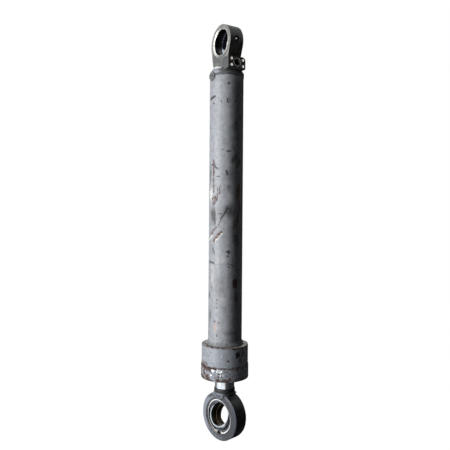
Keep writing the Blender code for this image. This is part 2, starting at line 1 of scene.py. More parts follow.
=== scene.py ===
"""Looks of the two-stage telescopic cylinder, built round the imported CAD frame.

Row frame: origin at the base eye's pin centre, +Z up, base eye bore along Y, port pad on +X. The helpers take
millimetres and write metres.
"""

import math

import bmesh
import bpy
from mathutils import Matrix, Vector


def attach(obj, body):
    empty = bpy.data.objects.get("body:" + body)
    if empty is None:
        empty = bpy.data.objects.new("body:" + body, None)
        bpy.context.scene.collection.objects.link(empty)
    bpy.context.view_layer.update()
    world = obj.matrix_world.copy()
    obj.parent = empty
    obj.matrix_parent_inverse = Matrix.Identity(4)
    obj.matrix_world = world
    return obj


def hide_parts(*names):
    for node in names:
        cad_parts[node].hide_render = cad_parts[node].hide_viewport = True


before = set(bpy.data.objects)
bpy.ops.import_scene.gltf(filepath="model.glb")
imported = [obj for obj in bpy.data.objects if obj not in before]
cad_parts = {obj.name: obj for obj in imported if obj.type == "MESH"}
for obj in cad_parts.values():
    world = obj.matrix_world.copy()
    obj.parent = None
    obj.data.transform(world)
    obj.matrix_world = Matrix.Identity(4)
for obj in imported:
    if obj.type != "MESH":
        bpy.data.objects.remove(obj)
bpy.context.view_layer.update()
MM = 0.001

# ------------------------------------------------------------------ viewpoint
AZIMUTH = math.radians(58.0)
BACK = Vector((math.sin(AZIMUTH), -math.cos(AZIMUTH), 0.0))
RIGHT = Vector((math.cos(AZIMUTH), math.sin(AZIMUTH), 0.0))
FOCAL_PX = 507.0
DISTANCE = 1.825
EYE_LEVEL = -0.629
SIDEWAYS = -0.0028
HORIZON = 218.5  # picture row, of 450, that is level with the camera
ROLL = math.radians(0.42)

# ------------------------------------------------------------------ sizes (mm), as in the frame
EYE_R, EYE_CENTRE_Z, EYE_HALF = 65.3, -2.5, 27.0
TUBE_R, TUBE_TOP, TUBE_END = 60.5, -121.0, -1100.0
CAP_LIP_R, CAP_SEAM_Z = 62.3, -119.2
PORT_Z = -83.0
COLLAR_R, COLLAR_TOP, COLLAR_END = 83.2, -1076.6, -1147.2
GLAND_R, GLAND_TOP, GLAND_END = 85.0, -1147.5, -1193.6
ROD_R, ROD_END = 35.0, -1240.0
ROD_EYE_Z = -1333.6
ROD_EYE_R, ROD_EYE_FACE_R, ROD_EYE_HALF, ROD_EYE_RIM = 85.0, 79.0, 31.5, 26.0
TURN = math.radians(13.0)
TILT = math.radians(-18.0)
BLEED_Z = -126.0
SET_SCREW_Z = -1170.0
SET_SCREW_DIR = Vector((0.7965, -0.6046, 0.0)).normalized()


# ================================================================== mesh helpers
def about(axis, centre=(0.0, 0.0, 0.0)):
    turn = Vector((0, 0, 1)).rotation_difference(Vector(axis)).to_matrix().to_4x4()
    return Matrix.Translation(Vector(centre)) @ turn


def rod_eye_frame():
    return Matrix.Translation((0, 0, ROD_EYE_Z)) @ Matrix.Rotation(TURN, 4, "Z")


def link(name, bm, where, mats=(), smooth_angle=35.0):
    bmesh.ops.remove_doubles(bm, verts=bm.verts, dist=1e-5)
    bmesh.ops.recalc_face_normals(bm, faces=bm.faces)
    if bm.calc_volume(signed=True) < 0:
        bmesh.ops.reverse_faces(bm, faces=bm.faces)
    bmesh.ops.transform(bm, matrix=Matrix.Scale(MM, 4) @ where, verts=bm.verts)
    mesh = bpy.data.meshes.new(name)
    bm.to_mesh(mesh)
    bm.free()
    mesh.polygons.foreach_set("use_smooth", [True] * len(mesh.polygons))
    if smooth_angle < 179:
        mesh.set_sharp_from_angle(angle=math.radians(smooth_angle))
    obj = bpy.data.objects.new(name, mesh)
    bpy.context.scene.collection.objects.link(obj)
    for mat in mats:
        mesh.materials.append(mat)
    return obj


def lathe(name, profile, where=Matrix.Identity(4), mats=(), sides=160, smooth_angle=35.0, wobble=None):
    """Turns a closed (radius, height) outline about Z. wobble(angle, height, radius) may shift the radius."""
    bm = bmesh.new()
    rings = []
    for r, z in profile:
        if r < 1e-6:
            rings.append([bm.verts.new((0, 0, z))])
            continue
        ring = []
        for i in range(sides):
            a = 2 * math.pi * i / sides
            rr = r + (wobble(a, z, r) if wobble else 0.0)
            ring.append(bm.verts.new((rr * math.cos(a), rr * math.sin(a), z)))
        rings.append(ring)
    for k, ring in enumerate(rings):
        other = rings[(k + 1) % len(rings)]
        if len(ring) == 1 and len(other) == 1:
            continue
        for i in range(sides):
            j = (i + 1) % sides
            face = []
            for corner in (
                ring[i % len(ring)],
                ring[j % len(ring)],
                other[j % len(other)],
                other[i % len(other)],
            ):
                if corner not in face:
                    face.append(corner)
            bm.faces.new(face)
    return link(name, bm, where, mats, smooth_angle)


def prism(name, outline, low, high, where, mats=(), smooth_angle=35.0):
    bm = bmesh.new()
    lower = [bm.verts.new((x, y, low)) for x, y in outline]
    upper = [bm.verts.new((x, y, high)) for x, y in outline]
    bm.faces.new(list(reversed(lower)))
    bm.faces.new(upper)
    for i in range(len(outline)):
        j = (i + 1) % len(outline)
        bm.faces.new((lower[i], lower[j], upper[j], upper[i]))
    return link(name, bm, where, mats, smooth_angle)


def round_corners(points, radius, steps=5):
    """The outline with its corners rounded. radius is one number, or one for each point (0 leaves a corner)."""
    out = []
    count = len(points)
    for i, p in enumerate(points):
        r = radius[i] if isinstance(radius, (list, tuple)) else radius
        a, b, c = Vector(points[i - 1]), Vector(p), Vector(points[(i + 1) % count])
        u, v = a - b, c - b
        if r <= 0 or u.length < 1e-6 or v.length < 1e-6:
            out.append(tuple(b))
            continue
        angle = u.angle(v)
        if angle < 1e-3 or angle > math.pi - 0.05:
            out.append(tuple(b))
            continue
        reach = min(r / math.tan(angle / 2), 0.49 * u.length, 0.49 * v.length)
        r = reach * math.tan(angle / 2)
        start, end = b + u.normalized() * reach, b + v.normalized() * reach
        centre = b + (u.normalized() + v.normalized()).normalized() * (r / math.sin(angle / 2))
        s, e = start - centre, end - centre
        turn = math.atan2(s.x * e.y - s.y * e.x, s.dot(e))
        for k in range(steps + 1):
            w = turn * k / steps
            out.append(
                (
                    centre.x + s.x * math.cos(w) - s.y * math.sin(w),
                    centre.y + s.x * math.sin(w) + s.y * math.cos(w),
                )
            )
    return out


def arc(cx, cy, r, start, end, steps):
    return [
        (
            cx + r * math.cos(math.radians(start + (end - start) * i / steps)),
            cy + r * math.sin(math.radians(start + (end - start) * i / steps)),
        )
        for i in range(steps + 1)
    ]


def drop(*objs):
    for obj in objs:
        bpy.data.objects.remove(obj, do_unlink=True)


def bake(obj):
    """Applies the object's modifiers."""
    bpy.context.view_layer.update()
    graph = bpy.context.evaluated_depsgraph_get()
    mesh = bpy.data.meshes.new_from_object(obj.evaluated_get(graph))
    mats = [m for m in obj.data.materials]
    obj.modifiers.clear()
    obj.data = mesh
    if not len(mesh.materials):
        for mat in mats:
            mesh.materials.append(mat)
    return obj


def boolean(obj, others, operation, solver="EXACT"):
    for other in others:
        mod = obj.modifiers.new("b", "BOOLEAN")
        mod.operation = operation
        mod.solver = solver
        mod.object = other
    bake(obj)
    drop(*others)
    return obj


def melt(parts, name, voxel, smooth, factor=0.5):
    """Joins overlapping closed solids into one skin with soft corners, as a forging or casting has."""
    bm = bmesh.new()
    for part in parts:
        bm.from_mesh(part.data)
    mesh = bpy.data.meshes.new(name)
    bm.to_mesh(mesh)
    bm.free()
    obj = bpy.data.objects.new(name, mesh)
    bpy.context.scene.collection.objects.link(obj)
    drop(*parts)
    mod = obj.modifiers.new("r", "REMESH")
    mod.mode = "VOXEL"
    mod.voxel_size = voxel * MM
    mod.use_smooth_shade = True
    if smooth:
        mod = obj.modifiers.new("s", "SMOOTH")
        mod.factor = factor
        mod.iterations = smooth
    return bake(obj)


def shade(obj, angle=35.0):
    mesh = obj.data
    mesh.polygons.foreach_set("use_smooth", [True] * len(mesh.polygons))
    mesh.set_sharp_from_angle(angle=math.radians(angle))
    return obj


def dress(obj, *mats):
    obj.data.materials.clear()
    for mat in mats:
        obj.data.materials.append(mat)
    return obj


def cylinder(name, radius, low, high, where, sides=64):
    return lathe(name, [(0, low), (radius, low), (radius, high), (0, high)], where, (), sides)


# ================================================================== node helpers
class Maths:
    """Builds node expressions: m = Maths(material); x = m.x * 2 + 1."""

    class Value:
        def __init__(self, maths, socket):
            self.m, self.socket = maths, socket

        def __add__(self, o):
            return self.m.op("ADD", self, o)

        __radd__ = __add__

        def __sub__(self, o):
            return self.m.op("SUBTRACT", self, o)

        def __rsub__(self, o):
            return self.m.op("SUBTRACT", o, self)

        def __mul__(self, o):
            return self.m.op("MULTIPLY", self, o)

        __rmul__ = __mul__

        def __truediv__(self, o):
            return self.m.op("DIVIDE", self, o)

    def __init__(self, mat):
        self.mat = mat
        self.tree = mat.node_tree
        coords = self.tree.nodes.new("ShaderNodeTexCoord")
        self.position = coords.outputs["Object"]
        split = self.tree.nodes.new("ShaderNodeSeparateXYZ")
        scale = self.tree.nodes.new("ShaderNodeVectorMath")
        scale.operation = "SCALE"
        scale.inputs["Scale"].default_value = 1000.0
        self.tree.links.new(self.position, scale.inputs[0])
        self.mm = scale.outputs[0]
        self.tree.links.new(self.mm, split.inputs[0])
        self.x = self.Value(self, split.outputs[0])
        self.y = self.Value(self, split.outputs[1])
        self.z = self.Value(self, split.outputs[2])

    def put(self, value, socket):
        if isinstance(value, self.Value):
            self.tree.links.new(value.socket, socket)
        elif hasattr(value, "is_output"):
            self.tree.links.new(value, socket)
        else:
            socket.default_value = value

    def op(self, operation, a, b=0.0, c=None, clamp=False):
        node = self.tree.nodes.new("ShaderNodeMath")
        node.operation = operation
        node.use_clamp = clamp
        self.put(a, node.inputs[0])
        self.put(b, node.inputs[1])
        if c is not None:
            self.put(c, node.inputs[2])
        return self.Value(self, node.outputs[0])

    def low(self, a, b):
        return self.op("MINIMUM", a, b)

    def high(self, a, b):
        return self.op("MAXIMUM", a, b)

    def size(self, a):
        return self.op("ABSOLUTE", a)

    def root(self, a):
        return self.op("SQRT", a)

    def ramp(self, value, start, end, low=0.0, high=1.0, smooth=True):
        """0 to 1 as value goes from start to end, held outside."""
        node = self.tree.nodes.new("ShaderNodeMapRange")
        node.interpolation_type = "SMOOTHSTEP" if smooth else "LINEAR"
        node.clamp = True
        self.put(value, node.inputs["Value"])
        self.put(start, node.inputs["From Min"])
        self.put(end, node.inputs["From Max"])
        self.put(low, node.inputs["To Min"])
        self.put(high, node.inputs["To Max"])
        return self.Value(self, node.outputs["Result"])

    def vector(self, x, y, z):
        node = self.tree.nodes.new("ShaderNodeCombineXYZ")
        for value, socket in zip((x, y, z), node.inputs):
            self.put(value, socket)
        return node.outputs[0]

    def noise(self, scale, detail=3.0, rough=0.55, where=None, distortion=0.0, stretch=None):
        """Noise with features of about 1/scale mm. stretch divides the coordinates."""
        node = self.tree.nodes.new("ShaderNodeTexNoise")
        node.inputs["Scale"].default_value = scale
        node.inputs["Detail"].default_value = detail
        node.inputs["Roughness"].default_value = rough
        node.inputs["Distortion"].default_value = distortion
        source = where if where is not None else self.mm
        if stretch:
            by = self.tree.nodes.new("ShaderNodeVectorMath")
            by.operation = "MULTIPLY"
            by.inputs[1].default_value = stretch
            self.tree.links.new(source, by.inputs[0])
            source = by.outputs[0]
        self.tree.links.new(source, node.inputs["Vector"])
        return self.Value(self, node.outputs["Fac"])

    def cells(self, scale, feature="F1", where=None, randomness=1.0):
        node = self.tree.nodes.new("ShaderNodeTexVoronoi")
        node.feature = feature
        node.inputs["Scale"].default_value = scale
        node.inputs["Randomness"].default_value = randomness
        self.tree.links.new(where if where is not None else self.mm, node.inputs["Vector"])
        return self.Value(self, node.outputs["Distance"])

    def colour(self, a, b, fac):
        """a where fac is 0, b where it is 1. Colours are linear RGB."""
        node = self.tree.nodes.new("ShaderNodeMix")
        node.data_type = "RGBA"
        node.clamp_factor = True
        self.put(fac, node.inputs["Factor"])
        for value, socket in ((a, node.inputs[6]), (b, node.inputs[7])):
            if isinstance(value, tuple):
                socket.default_value = (*value, 1.0)
            else:
                self.tree.links.new(value, socket)
        return node.outputs[2]

    def mix(self, a, b, fac):
        node = self.tree.nodes.new("ShaderNodeMix")
        node.data_type = "FLOAT"
        node.clamp_factor = True
        self.put(fac, node.inputs["Factor"])
        self.put(a, node.inputs[2])
        self.put(b, node.inputs[3])
        return self.Value(self, node.outputs[0])

    def bump(self, height, strength, distance_mm, under=None):
        node = self.tree.nodes.new("ShaderNodeBump")
        node.inputs["Strength"].default_value = strength
        node.inputs["Distance"].default_value = distance_mm * MM
        self.put(height, node.inputs["Height"])
        if under is not None:
            self.tree.links.new(under, node.inputs["Normal"])
        return node.outputs[0]

    def segment(self, u, v, a, b, width, soft=0.5):
        """1 on the stroke from a to b in the (u, v) plane, falling to 0 at width from it."""
        du, dv = b[0] - a[0], b[1] - a[1]
        length2 = max(du * du + dv * dv, 1e-6)
        t = self.op("ADD", (u - a[0]) * (du / length2), (v - a[1]) * (dv / length2), clamp=True)
        x = u - a[0] - t * du
        y = v - a[1] - t * dv
        return self.ramp(self.root(x * x + y * y), width, width * soft)

    def spot(self, u, v, centre, ru, rv, soft=0.5, turn=0.0):
        c, s = math.cos(turn), math.sin(turn)
        du, dv = u - centre[0], v - centre[1]
        x = (du * c + dv * s) / ru
        y = (dv * c - du * s) / rv
        return self.ramp(self.root(x * x + y * y), 1.0, soft)


def srgb(r, g, b):
    return tuple(((c / 255) / 12.92) if c <= 10 else ((c / 255 + 0.055) / 1.055) ** 2.4 for c in (r, g, b))


def material(name, metallic=0.0, ior=1.45, coat=0.0, coat_rough=0.1):
    mat = bpy.data.materials.new(name)
    mat.use_nodes = True
    shader = mat.node_tree.nodes["Principled BSDF"]
    shader.inputs["Metallic"].default_value = metallic
    shader.inputs["IOR"].default_value = ior
    shader.inputs["Coat Weight"].default_value = coat
    shader.inputs["Coat Roughness"].default_value = coat_rough
    return mat, shader, Maths(mat)


def finish_material(m, shader, colour, rough, normal=None, metallic=None):
    m.put(colour, shader.inputs["Base Color"])
    m.put(rough, shader.inputs["Roughness"])
    if normal is not None:
        m.put(normal, shader.inputs["Normal"])
    if metallic is not None:
        m.put(metallic, shader.inputs["Metallic"])


# ------------------------------------------------------------------ where a line of sight meets the barrel
def view_matrix():
    base = Matrix((RIGHT, Vector((0, 0, 1)), BACK)).transposed()
    tilt = Matrix.Rotation(ROLL, 3, "Z")
    return base @ tilt


VIEW = view_matrix()
STAND = BACK * DISTANCE + RIGHT * SIDEWAYS + Vector((0, 0, EYE_LEVEL))


def on_barrel(px, py, radius):
    """(arc length from the middle of the seen side, height), in mm, of a picture point on a round of this radius."""
    ray = VIEW @ Vector(((px - 225.0) / FOCAL_PX, (HORIZON - py) / FOCAL_PX, -1.0))
    o = STAND * 1000
    a = ray.x**2 + ray.y**2
    b = 2 * (o.x * ray.x + o.y * ray.y)
    c = o.x**2 + o.y**2 - radius**2
    gap = b * b - 4 * a * c
    t = (-b - math.sqrt(gap)) / (2 * a) if gap > 0 else -b / (2 * a)
    p = o + ray * t
    angle = math.atan2(p.dot(RIGHT), p.dot(BACK))
    return radius * angle, p.z


def barrel_coordinates(m, radius):
    """(u, v): arc length from the middle of the seen side, and height, in mm."""
    across = m.x * RIGHT.x + m.y * RIGHT.y
    towards = m.x * BACK.x + m.y * BACK.y
    return m.op("ARCTAN2", across, towards) * radius, m.z


# ================================================================== materials
def scuffs(m, u, v, strokes, radius):
    """Marks given as (kind, px0, py0, px1, py1, half width in mm, depth 0..1), placed along lines of sight."""
    found = {}
    for kind, x0, y0, x1, y1, width, depth in strokes:
        a, b = on_barrel(x0, y0, radius), on_barrel(x1, y1, radius)
        mask = m.segment(u, v, a, b, width) * depth
        found[kind] = m.high(found[kind], mask) if kind in found else mask
    return found


def smudges(m, u, v, blobs, radius):
    """Soft marks given as (px, py, half width px, half height px, turn in degrees, depth); the strongest one wins."""
    found = 0.0
    scale = DISTANCE * 1000 / FOCAL_PX
    for px, py, rx, ry, turn, depth in blobs:
        centre = on_barrel(px, py, radius)
        mask = m.spot(u, v, centre, rx * scale, ry * scale, 0.15, math.radians(turn)) * depth
        found = m.high(found, mask)
    return found


# The barrel's paint is one finish in four lengths, so that each length's shader carries only its own marks.
PAINT_ROWS = (60.0, 141.0, 200.5, 245.5, 350.0)


def barrel_paint(number, row_from, row_to):
    """Satin grey paint on the barrel: orange peel, clouds of grime, dotted rusty chain marks, rubbed left side, and
    painted shade darkening the right side.
    """
    mat, shader, m = material(f"barrel_paint_{number}", ior=1.5, coat=0.12, coat_rough=0.3)
    u, v = barrel_coordinates(m, TUBE_R)
    warp = (m.noise(0.16, 3.0, 0.6) - 0.5) * 7.0
    uu, vv = u + warp, v + (m.noise(0.13, 3.0, 0.6) - 0.5) * 7.0
    far_u, far_v = u + (m.noise(0.06, 4.0, 0.65) - 0.5) * 22.0, v + (m.noise(0.055, 4.0, 0.65) - 0.5) * 34.0

    strokes = [
        ("rust", 213.6, 160.0, 213.7, 165.0, 3.4, 0.85),
        ("rust", 213.8, 167.0, 213.7, 175.5, 3.6, 0.95),
        ("rust", 213.7, 178.0, 213.7, 184.0, 3.2, 0.9),
        ("rust", 213.8, 186.0, 213.6, 192.0, 3.6, 0.95),
        ("dark", 212.4, 164.5, 217.8, 168.6, 3.4, 0.75),
        ("dark", 214.6, 163.2, 216.0, 168.0, 2.4, 0.6),
        ("dark", 216.6, 176.6, 219.4, 176.2, 2.6, 0.85),
        ("dark", 220.4, 149.2, 223.6, 149.4, 2.0, 0.6),
        ("dark", 226.8, 151.2, 230.6, 151.0, 3.0, 0.85),
        ("dark", 233.4, 147.0, 235.4, 150.0, 2.2, 0.6),
        ("rust", 217.6, 188.0, 217.2, 199.0, 2.6, 0.65),
        ("rust", 220.2, 186.0, 219.4, 194.0, 2.4, 0.6),
        ("rust", 212.4, 199.0, 215.6, 197.0, 4.4, 0.85),
        ("rust", 213.6, 203.6, 216.6, 198.4, 5.0, 0.95),
        ("rust", 214.0, 204.0, 214.6, 212.0, 2.6, 0.7),
        ("dark", 214.6, 212.0, 215.0, 224.0, 4.0, 0.8),
        ("dark", 217.4, 213.6, 223.4, 214.0, 1.8, 0.55),
        ("dark", 218.2, 225.6, 222.4, 216.0, 2.0, 0.6),
        ("dark", 221.4, 218.2, 227.4, 208.6, 4.4, 0.85),
        ("rust", 215.8, 227.0, 211.4, 234.2, 4.2, 0.9),
        ("rust", 220.8, 232.6, 213.6, 240.6, 5.2, 1.0),
        ("dark", 211.0, 99.2, 214.8, 96.4, 6.2, 0.8),
        ("dark", 213.7, 103.2, 213.9, 103.5, 4.2, 0.8),
        ("dark", 221.3, 100.6, 221.4, 101.4, 2.6, 0.6),
        ("dark", 227.6, 98.6, 228.2, 102.6, 3.0, 0.65),
        ("dark", 236.8, 96.2, 237.0, 96.6, 3.4, 0.7),
        ("dark", 235.6, 101.0, 236.2, 101.2, 3.4, 0.7),
        ("dark", 226.6, 171.0, 227.4, 174.2, 4.6, 0.85),
        ("dark", 226.8, 251.9, 229.6, 252.1, 4.4, 0.95),
        ("dark", 228.4, 250.4, 228.6, 254.0, 3.4, 0.9),
        ("dark", 227.6, 256.3, 227.8, 256.6, 3.8, 0.9),
        ("dark", 227.4, 263.4, 233.8, 266.4, 2.0, 0.55),
        ("dark", 228.5, 267.0, 228.7, 267.3, 3.2, 0.8),
        ("dark", 209.6, 261.2, 213.8, 263.0, 4.4, 0.6),
        ("dark", 216.8, 300.0, 216.9, 300.3, 3.4, 0.7),
        ("dark", 216.8, 303.6, 216.9, 303.9, 3.2, 0.7),
        ("dark", 216.8, 307.6, 216.9, 308.0, 3.6, 0.75),
        ("dark", 216.9, 335.0, 217.0, 336.4, 3.2, 0.7),
        ("rust", 214.4, 321.4, 214.8, 321.6, 3.0, 0.7),
        ("rust", 218.6, 323.0, 218.8, 323.3, 3.0, 0.6),
        ("scab", 234.9, 281.4, 234.9, 286.2, 11.0, 1.0),
        ("chip", 221.8, 233.2, 214.6, 241.4, 4.6, 0.9),
        ("chip", 212.0, 236.0, 209.6, 240.0, 3.6, 0.6),
        ("pink", 215.0, 325.4, 215.4, 329.0, 7.0, 1.0),
        ("dark", 229.0, 83.0, 229.2, 83.2, 5.0, 0.8),
    ]
    def here(low, high):
        return high > row_from - 4.0 and low < row_to + 4.0

    strokes = [k[:5] + (k[5] * (1.4 if k[0] == "rust" else 1.1), k[6]) for k in strokes if here(min(k[2], k[4]), max(k[2], k[4]))]
    marks = {"rust": 0.0, "dark": 0.0, "scab": 0.0, "chip": 0.0, "pink": 0.0}
    marks.update(scuffs(m, uu, vv, strokes, TUBE_R))
    dots = m.ramp(m.noise(0.30, 3.0, 0.6), 0.44, 0.54)
    rust = m.low(m.op("MULTIPLY", marks["rust"] * 1.6, m.mix(0.12, 1.0, dots)), 1.0)
    dark = m.low(m.op("MULTIPLY", marks["dark"] * 1.6, m.mix(0.5, 1.0, dots)), 1.0)

    def nearby(blobs):
        return [b for b in blobs if here(b[1] - b[3] * 1.4, b[1] + b[3] * 1.4)]

    stains = smudges(
        m, far_u, far_v,
        nearby([
            (240.5, 118.0, 3.2, 5.0, 0, 0.95), (236.0, 126.0, 5.0, 8.0, 0, 0.45), (235.0, 158.0, 4.2, 8.5, -35, 0.9),
            (238.5, 163.0, 4.0, 9.0, -30, 0.7), (210.6, 174.0, 2.2, 13.0, 0, 0.75), (229.0, 187.0, 3.5, 4.5, 0, 0.45),
            (229.5, 211.0, 10.0, 9.0, 10, 0.6), (213.0, 216.0, 5.5, 11.0, 0, 0.7), (236.0, 222.0, 5.0, 14.0, -20, 0.65),
            (236.0, 240.0, 5.5, 12.0, 15, 0.6), (213.4, 251.0, 2.0, 6.5, 30, 0.5), (211.4, 287.0, 3.0, 2.6, 0, 0.5),
            (209.4, 295.0, 1.6, 5.0, 0, 0.75), (210.0, 316.0, 2.2, 9.0, 0, 0.7), (236.0, 297.0, 3.2, 12.0, 0, 0.6),
            (240.4, 310.0, 1.8, 18.0, 0, 0.7), (231.0, 333.0, 12.0, 3.6, 0, 0.3), (224.0, 139.0, 2.0, 10.0, 0, 0.15),
            # the smudge at (209.0, 84.0) is painted shade down the left edge near the top
            (229.0, 100.0, 4.0, 5.0, 0, 0.3), (209.0, 84.0, 3.2, 18.0, 0, 0.42), (231.0, 175.0, 7.0, 10.0, 0, 0.28),
        ]),
        TUBE_R,
    )
    pale = smudges(
        m, far_u, far_v,
        nearby([
            (211.2, 194.5, 4.4, 10.0, 0, 1.0), (208.4, 248.0, 3.4, 24.0, 0, 0.9), (230.5, 198.5, 7.5, 6.0, 0, 0.3),
            (212.6, 276.0, 5.0, 20.0, 0, 0.3), (221.0, 260.0, 9.0, 5.0, 0, 0.22), (215.6, 327.0, 2.2, 4.2, 0, 0.5),
            (222.0, 301.0, 8.0, 6.0, 0, 0.15),
        ]),
        TUBE_R,
    )
    red = smudges(m, far_u, far_v, nearby([(238.6, 191.0, 3.0, 11.5, -8, 1.0), (239.6, 207.0, 2.4, 11.0, 0, 1.0)]), TUBE_R)

    # clouds of grime everywhere; streaks along the barrel; rubbed rings round it; painted shade towards the right
    cloud = m.ramp(m.noise(0.014, 5.0, 0.62, stretch=(1.0, 1.0, 0.5)), 0.5, 0.68)
    mottle = m.noise(0.07, 5.0, 0.68)
    streak = m.ramp(m.noise(0.16, 4.0, 0.6, stretch=(1.0, 1.0, 0.06)), 0.5, 0.66)
    ring_marks = m.ramp(m.noise(0.7, 3.0, 0.5, stretch=(0.05, 0.05, 1.0)), 0.58, 0.68)
    flecks = m.ramp(m.noise(0.25, 5.0, 0.72), 0.63, 0.68)
    pale_flecks = m.ramp(m.noise(0.2, 5.0, 0.72, where=m.vector(m.x + 300.0, m.y, m.z)), 0.64, 0.70)
    bands = m.spot(u, v + (m.noise(0.02, 2.0) - 0.5) * 6.0, on_barrel(226, 308.8, TUBE_R), 400.0, 1.1, 0.4)
    bands = m.high(bands, m.spot(u, v + (m.noise(0.02, 2.0) - 0.5) * 9.0, on_barrel(226, 264.2, TUBE_R), 400.0, 1.0, 0.4))

    paint = m.colour(srgb(149, 152, 157), srgb(172, 175, 181), m.ramp(mottle, 0.36, 0.62))
    paint = m.colour(paint, srgb(104, 103, 102), cloud * (0.15 if number == 1 else 0.35))
    paint = m.colour(paint, srgb(186, 189, 194), streak * 0.25)
    paint = m.colour(paint, srgb(206, 208, 210), ring_marks * 0.2)
    paint = m.colour(paint, srgb(92, 90, 88), bands * 0.4)
    # painted shade: the paint darkens towards the right side, turned away from the light
    side = m.x * RIGHT.x + m.y * RIGHT.y
    paint = m.colour(paint, srgb(70, 70, 74), m.ramp(side, -2.0, 44.0) * (0.55 if number == 1 else 0.42))
    stains = m.low(m.op("MULTIPLY", stains * 1.7, m.mix(0.4, 1.0, m.ramp(mottle, 0.38, 0.56))), 0.85)
    paint = m.colour(paint, srgb(56, 53, 50), stains)
    paint = m.colour(paint, srgb(240, 238, 232), m.op("MULTIPLY", pale, m.mix(0.5, 1.0, m.ramp(mottle, 0.4, 0.55))))
    paint = m.colour(paint, srgb(70, 32, 22), m.low(m.op("MULTIPLY", red * 1.9, m.mix(0.5, 1.0, dots)), 1.0))
    paint = m.colour(paint, srgb(84, 74, 66), flecks * 0.5)
    paint = m.colour(paint, srgb(214, 212, 208), pale_flecks * 0.35)
    paint = m.colour(paint, srgb(236, 234, 230), m.low(marks["chip"] * 1.4, 1.0))
    paint = m.colour(paint, srgb(186, 166, 158), m.low(marks["pink"] * 1.4, 1.0) * 0.9)
    paint = m.colour(paint, srgb(86, 50, 36), rust)
    paint = m.colour(paint, srgb(34, 32, 32), dark)
    paint = m.colour(paint, srgb(52, 26, 20), marks["scab"])
    rough = 0.42 + m.noise(0.03, 3.0) * 0.16 + cloud * 0.1 + rust * 0.3
    height = m.noise(0.28, 2.0, 0.5) * 0.35 + mottle * 0.8 - (rust + dark) * 0.9 - flecks * 0.5
    finish_material(m, shader, paint, rough, m.bump(height, 0.4, 0.5))
    return mat


def collar_paint():
    """The barrel's paint on the collar, chipped to brown primer along its edges and at a few knocks."""
    mat, shader, m = material("collar_paint", ior=1.5, coat=0.12, coat_rough=0.3)
    u, v = barrel_coordinates(m, COLLAR_R)
    uu, vv = u + (m.noise(0.2, 3.0, 0.6) - 0.5) * 6.0, v + (m.noise(0.22, 3.0, 0.6) - 0.5) * 6.0
    knocks = scuffs(
        m, uu, vv,
        [
            ("rust", 228.1, 361.2, 228.4, 361.5, 4.6, 1.0), ("rust", 243.4, 352.0, 242.8, 355.6, 3.4, 0.9),
            ("rust", 239.8, 359.6, 240.2, 360.2, 3.6, 0.9), ("rust", 243.0, 347.4, 243.0, 350.0, 4.0, 0.9),
            ("rust", 233.0, 349.6, 236.4, 349.4, 3.6, 0.8), ("rust", 210.3, 351.6, 210.4, 352.8, 2.6, 0.6),
            ("rust", 209.0, 355.4, 209.2, 356.2, 2.6, 0.5), ("rust", 203.4, 353.0, 203.6, 354.0, 3.0, 0.5),
            # the two dark knocks near (237, 355) are painted shade: the shadowed inside of a small pit
            ("dark", 237.2, 354.6, 238.4, 355.6, 8.2, 1.0), ("dark", 238.4, 352.8, 236.8, 357.6, 5.0, 0.9),
            ("pale", 221.5, 356.8, 221.6, 357.2, 3.0, 0.8), ("pale", 214.0, 361.0, 214.2, 361.4, 2.4, 0.5),
            ("pale", 238.9, 355.0, 239.1, 356.4, 2.2, 0.6),
        ],
        COLLAR_R,
    )
    edge_noise = m.noise(0.11, 4.0, 0.68)
    top_edge = m.op("MULTIPLY", m.ramp(v, COLLAR_TOP - 5.5, COLLAR_TOP - 1.2), m.ramp(edge_noise, 0.47, 0.53))
    low_edge = m.op("MULTIPLY", m.ramp(v, COLLAR_END + 6.0, COLLAR_END + 1.0), m.ramp(edge_noise, 0.44, 0.5))
    left_low = m.op(
        "MULTIPLY",
        m.ramp(u, -58.0, -76.0),
        m.op("MULTIPLY", m.ramp(v, COLLAR_END + 22.0, COLLAR_END + 8.0), m.ramp(edge_noise, 0.4, 0.5)),
    )
    edges = m.high(m.high(top_edge, low_edge), left_low)
    on_top = m.ramp(v, COLLAR_TOP - 0.9, COLLAR_TOP - 0.3)
    mottle = m.noise(0.09, 5.0, 0.68)
    flecks = m.ramp(m.noise(0.3, 5.0, 0.72), 0.64, 0.69)
    grime = m.ramp(m.noise(0.03, 4.0, 0.6), 0.48, 0.66)
    paint = m.colour(srgb(150, 155, 163), srgb(172, 177, 186), m.ramp(mottle, 0.36, 0.62))
    paint = m.colour(paint, srgb(112, 110, 108), grime * 0.2)
    paint = m.colour(paint, srgb(138, 136, 130), on_top * 0.8)
    paint = m.colour(paint, srgb(88, 76, 68), flecks * 0.6)
    paint = m.colour(paint, srgb(228, 230, 234), knocks["pale"])
    paint = m.colour(paint, srgb(78, 52, 42), edges * 0.95)
    paint = m.colour(paint, srgb(72, 44, 34), m.low(knocks["rust"] * 1.5, 1.0))
    # near-black knocks: painted shade of a small pit
    paint = m.colour(paint, srgb(20, 19, 21), m.low(knocks["dark"] * 1.5, 1.0))
    rough = 0.42 + mottle * 0.15 + edges * 0.25
    height = mottle * 0.8 - edges * 1.2 - flecks * 0.5 - knocks["rust"] - knocks["dark"] * 2.0
    finish_material(m, shader, paint, rough, m.bump(height, 0.45, 0.6))
    return mat


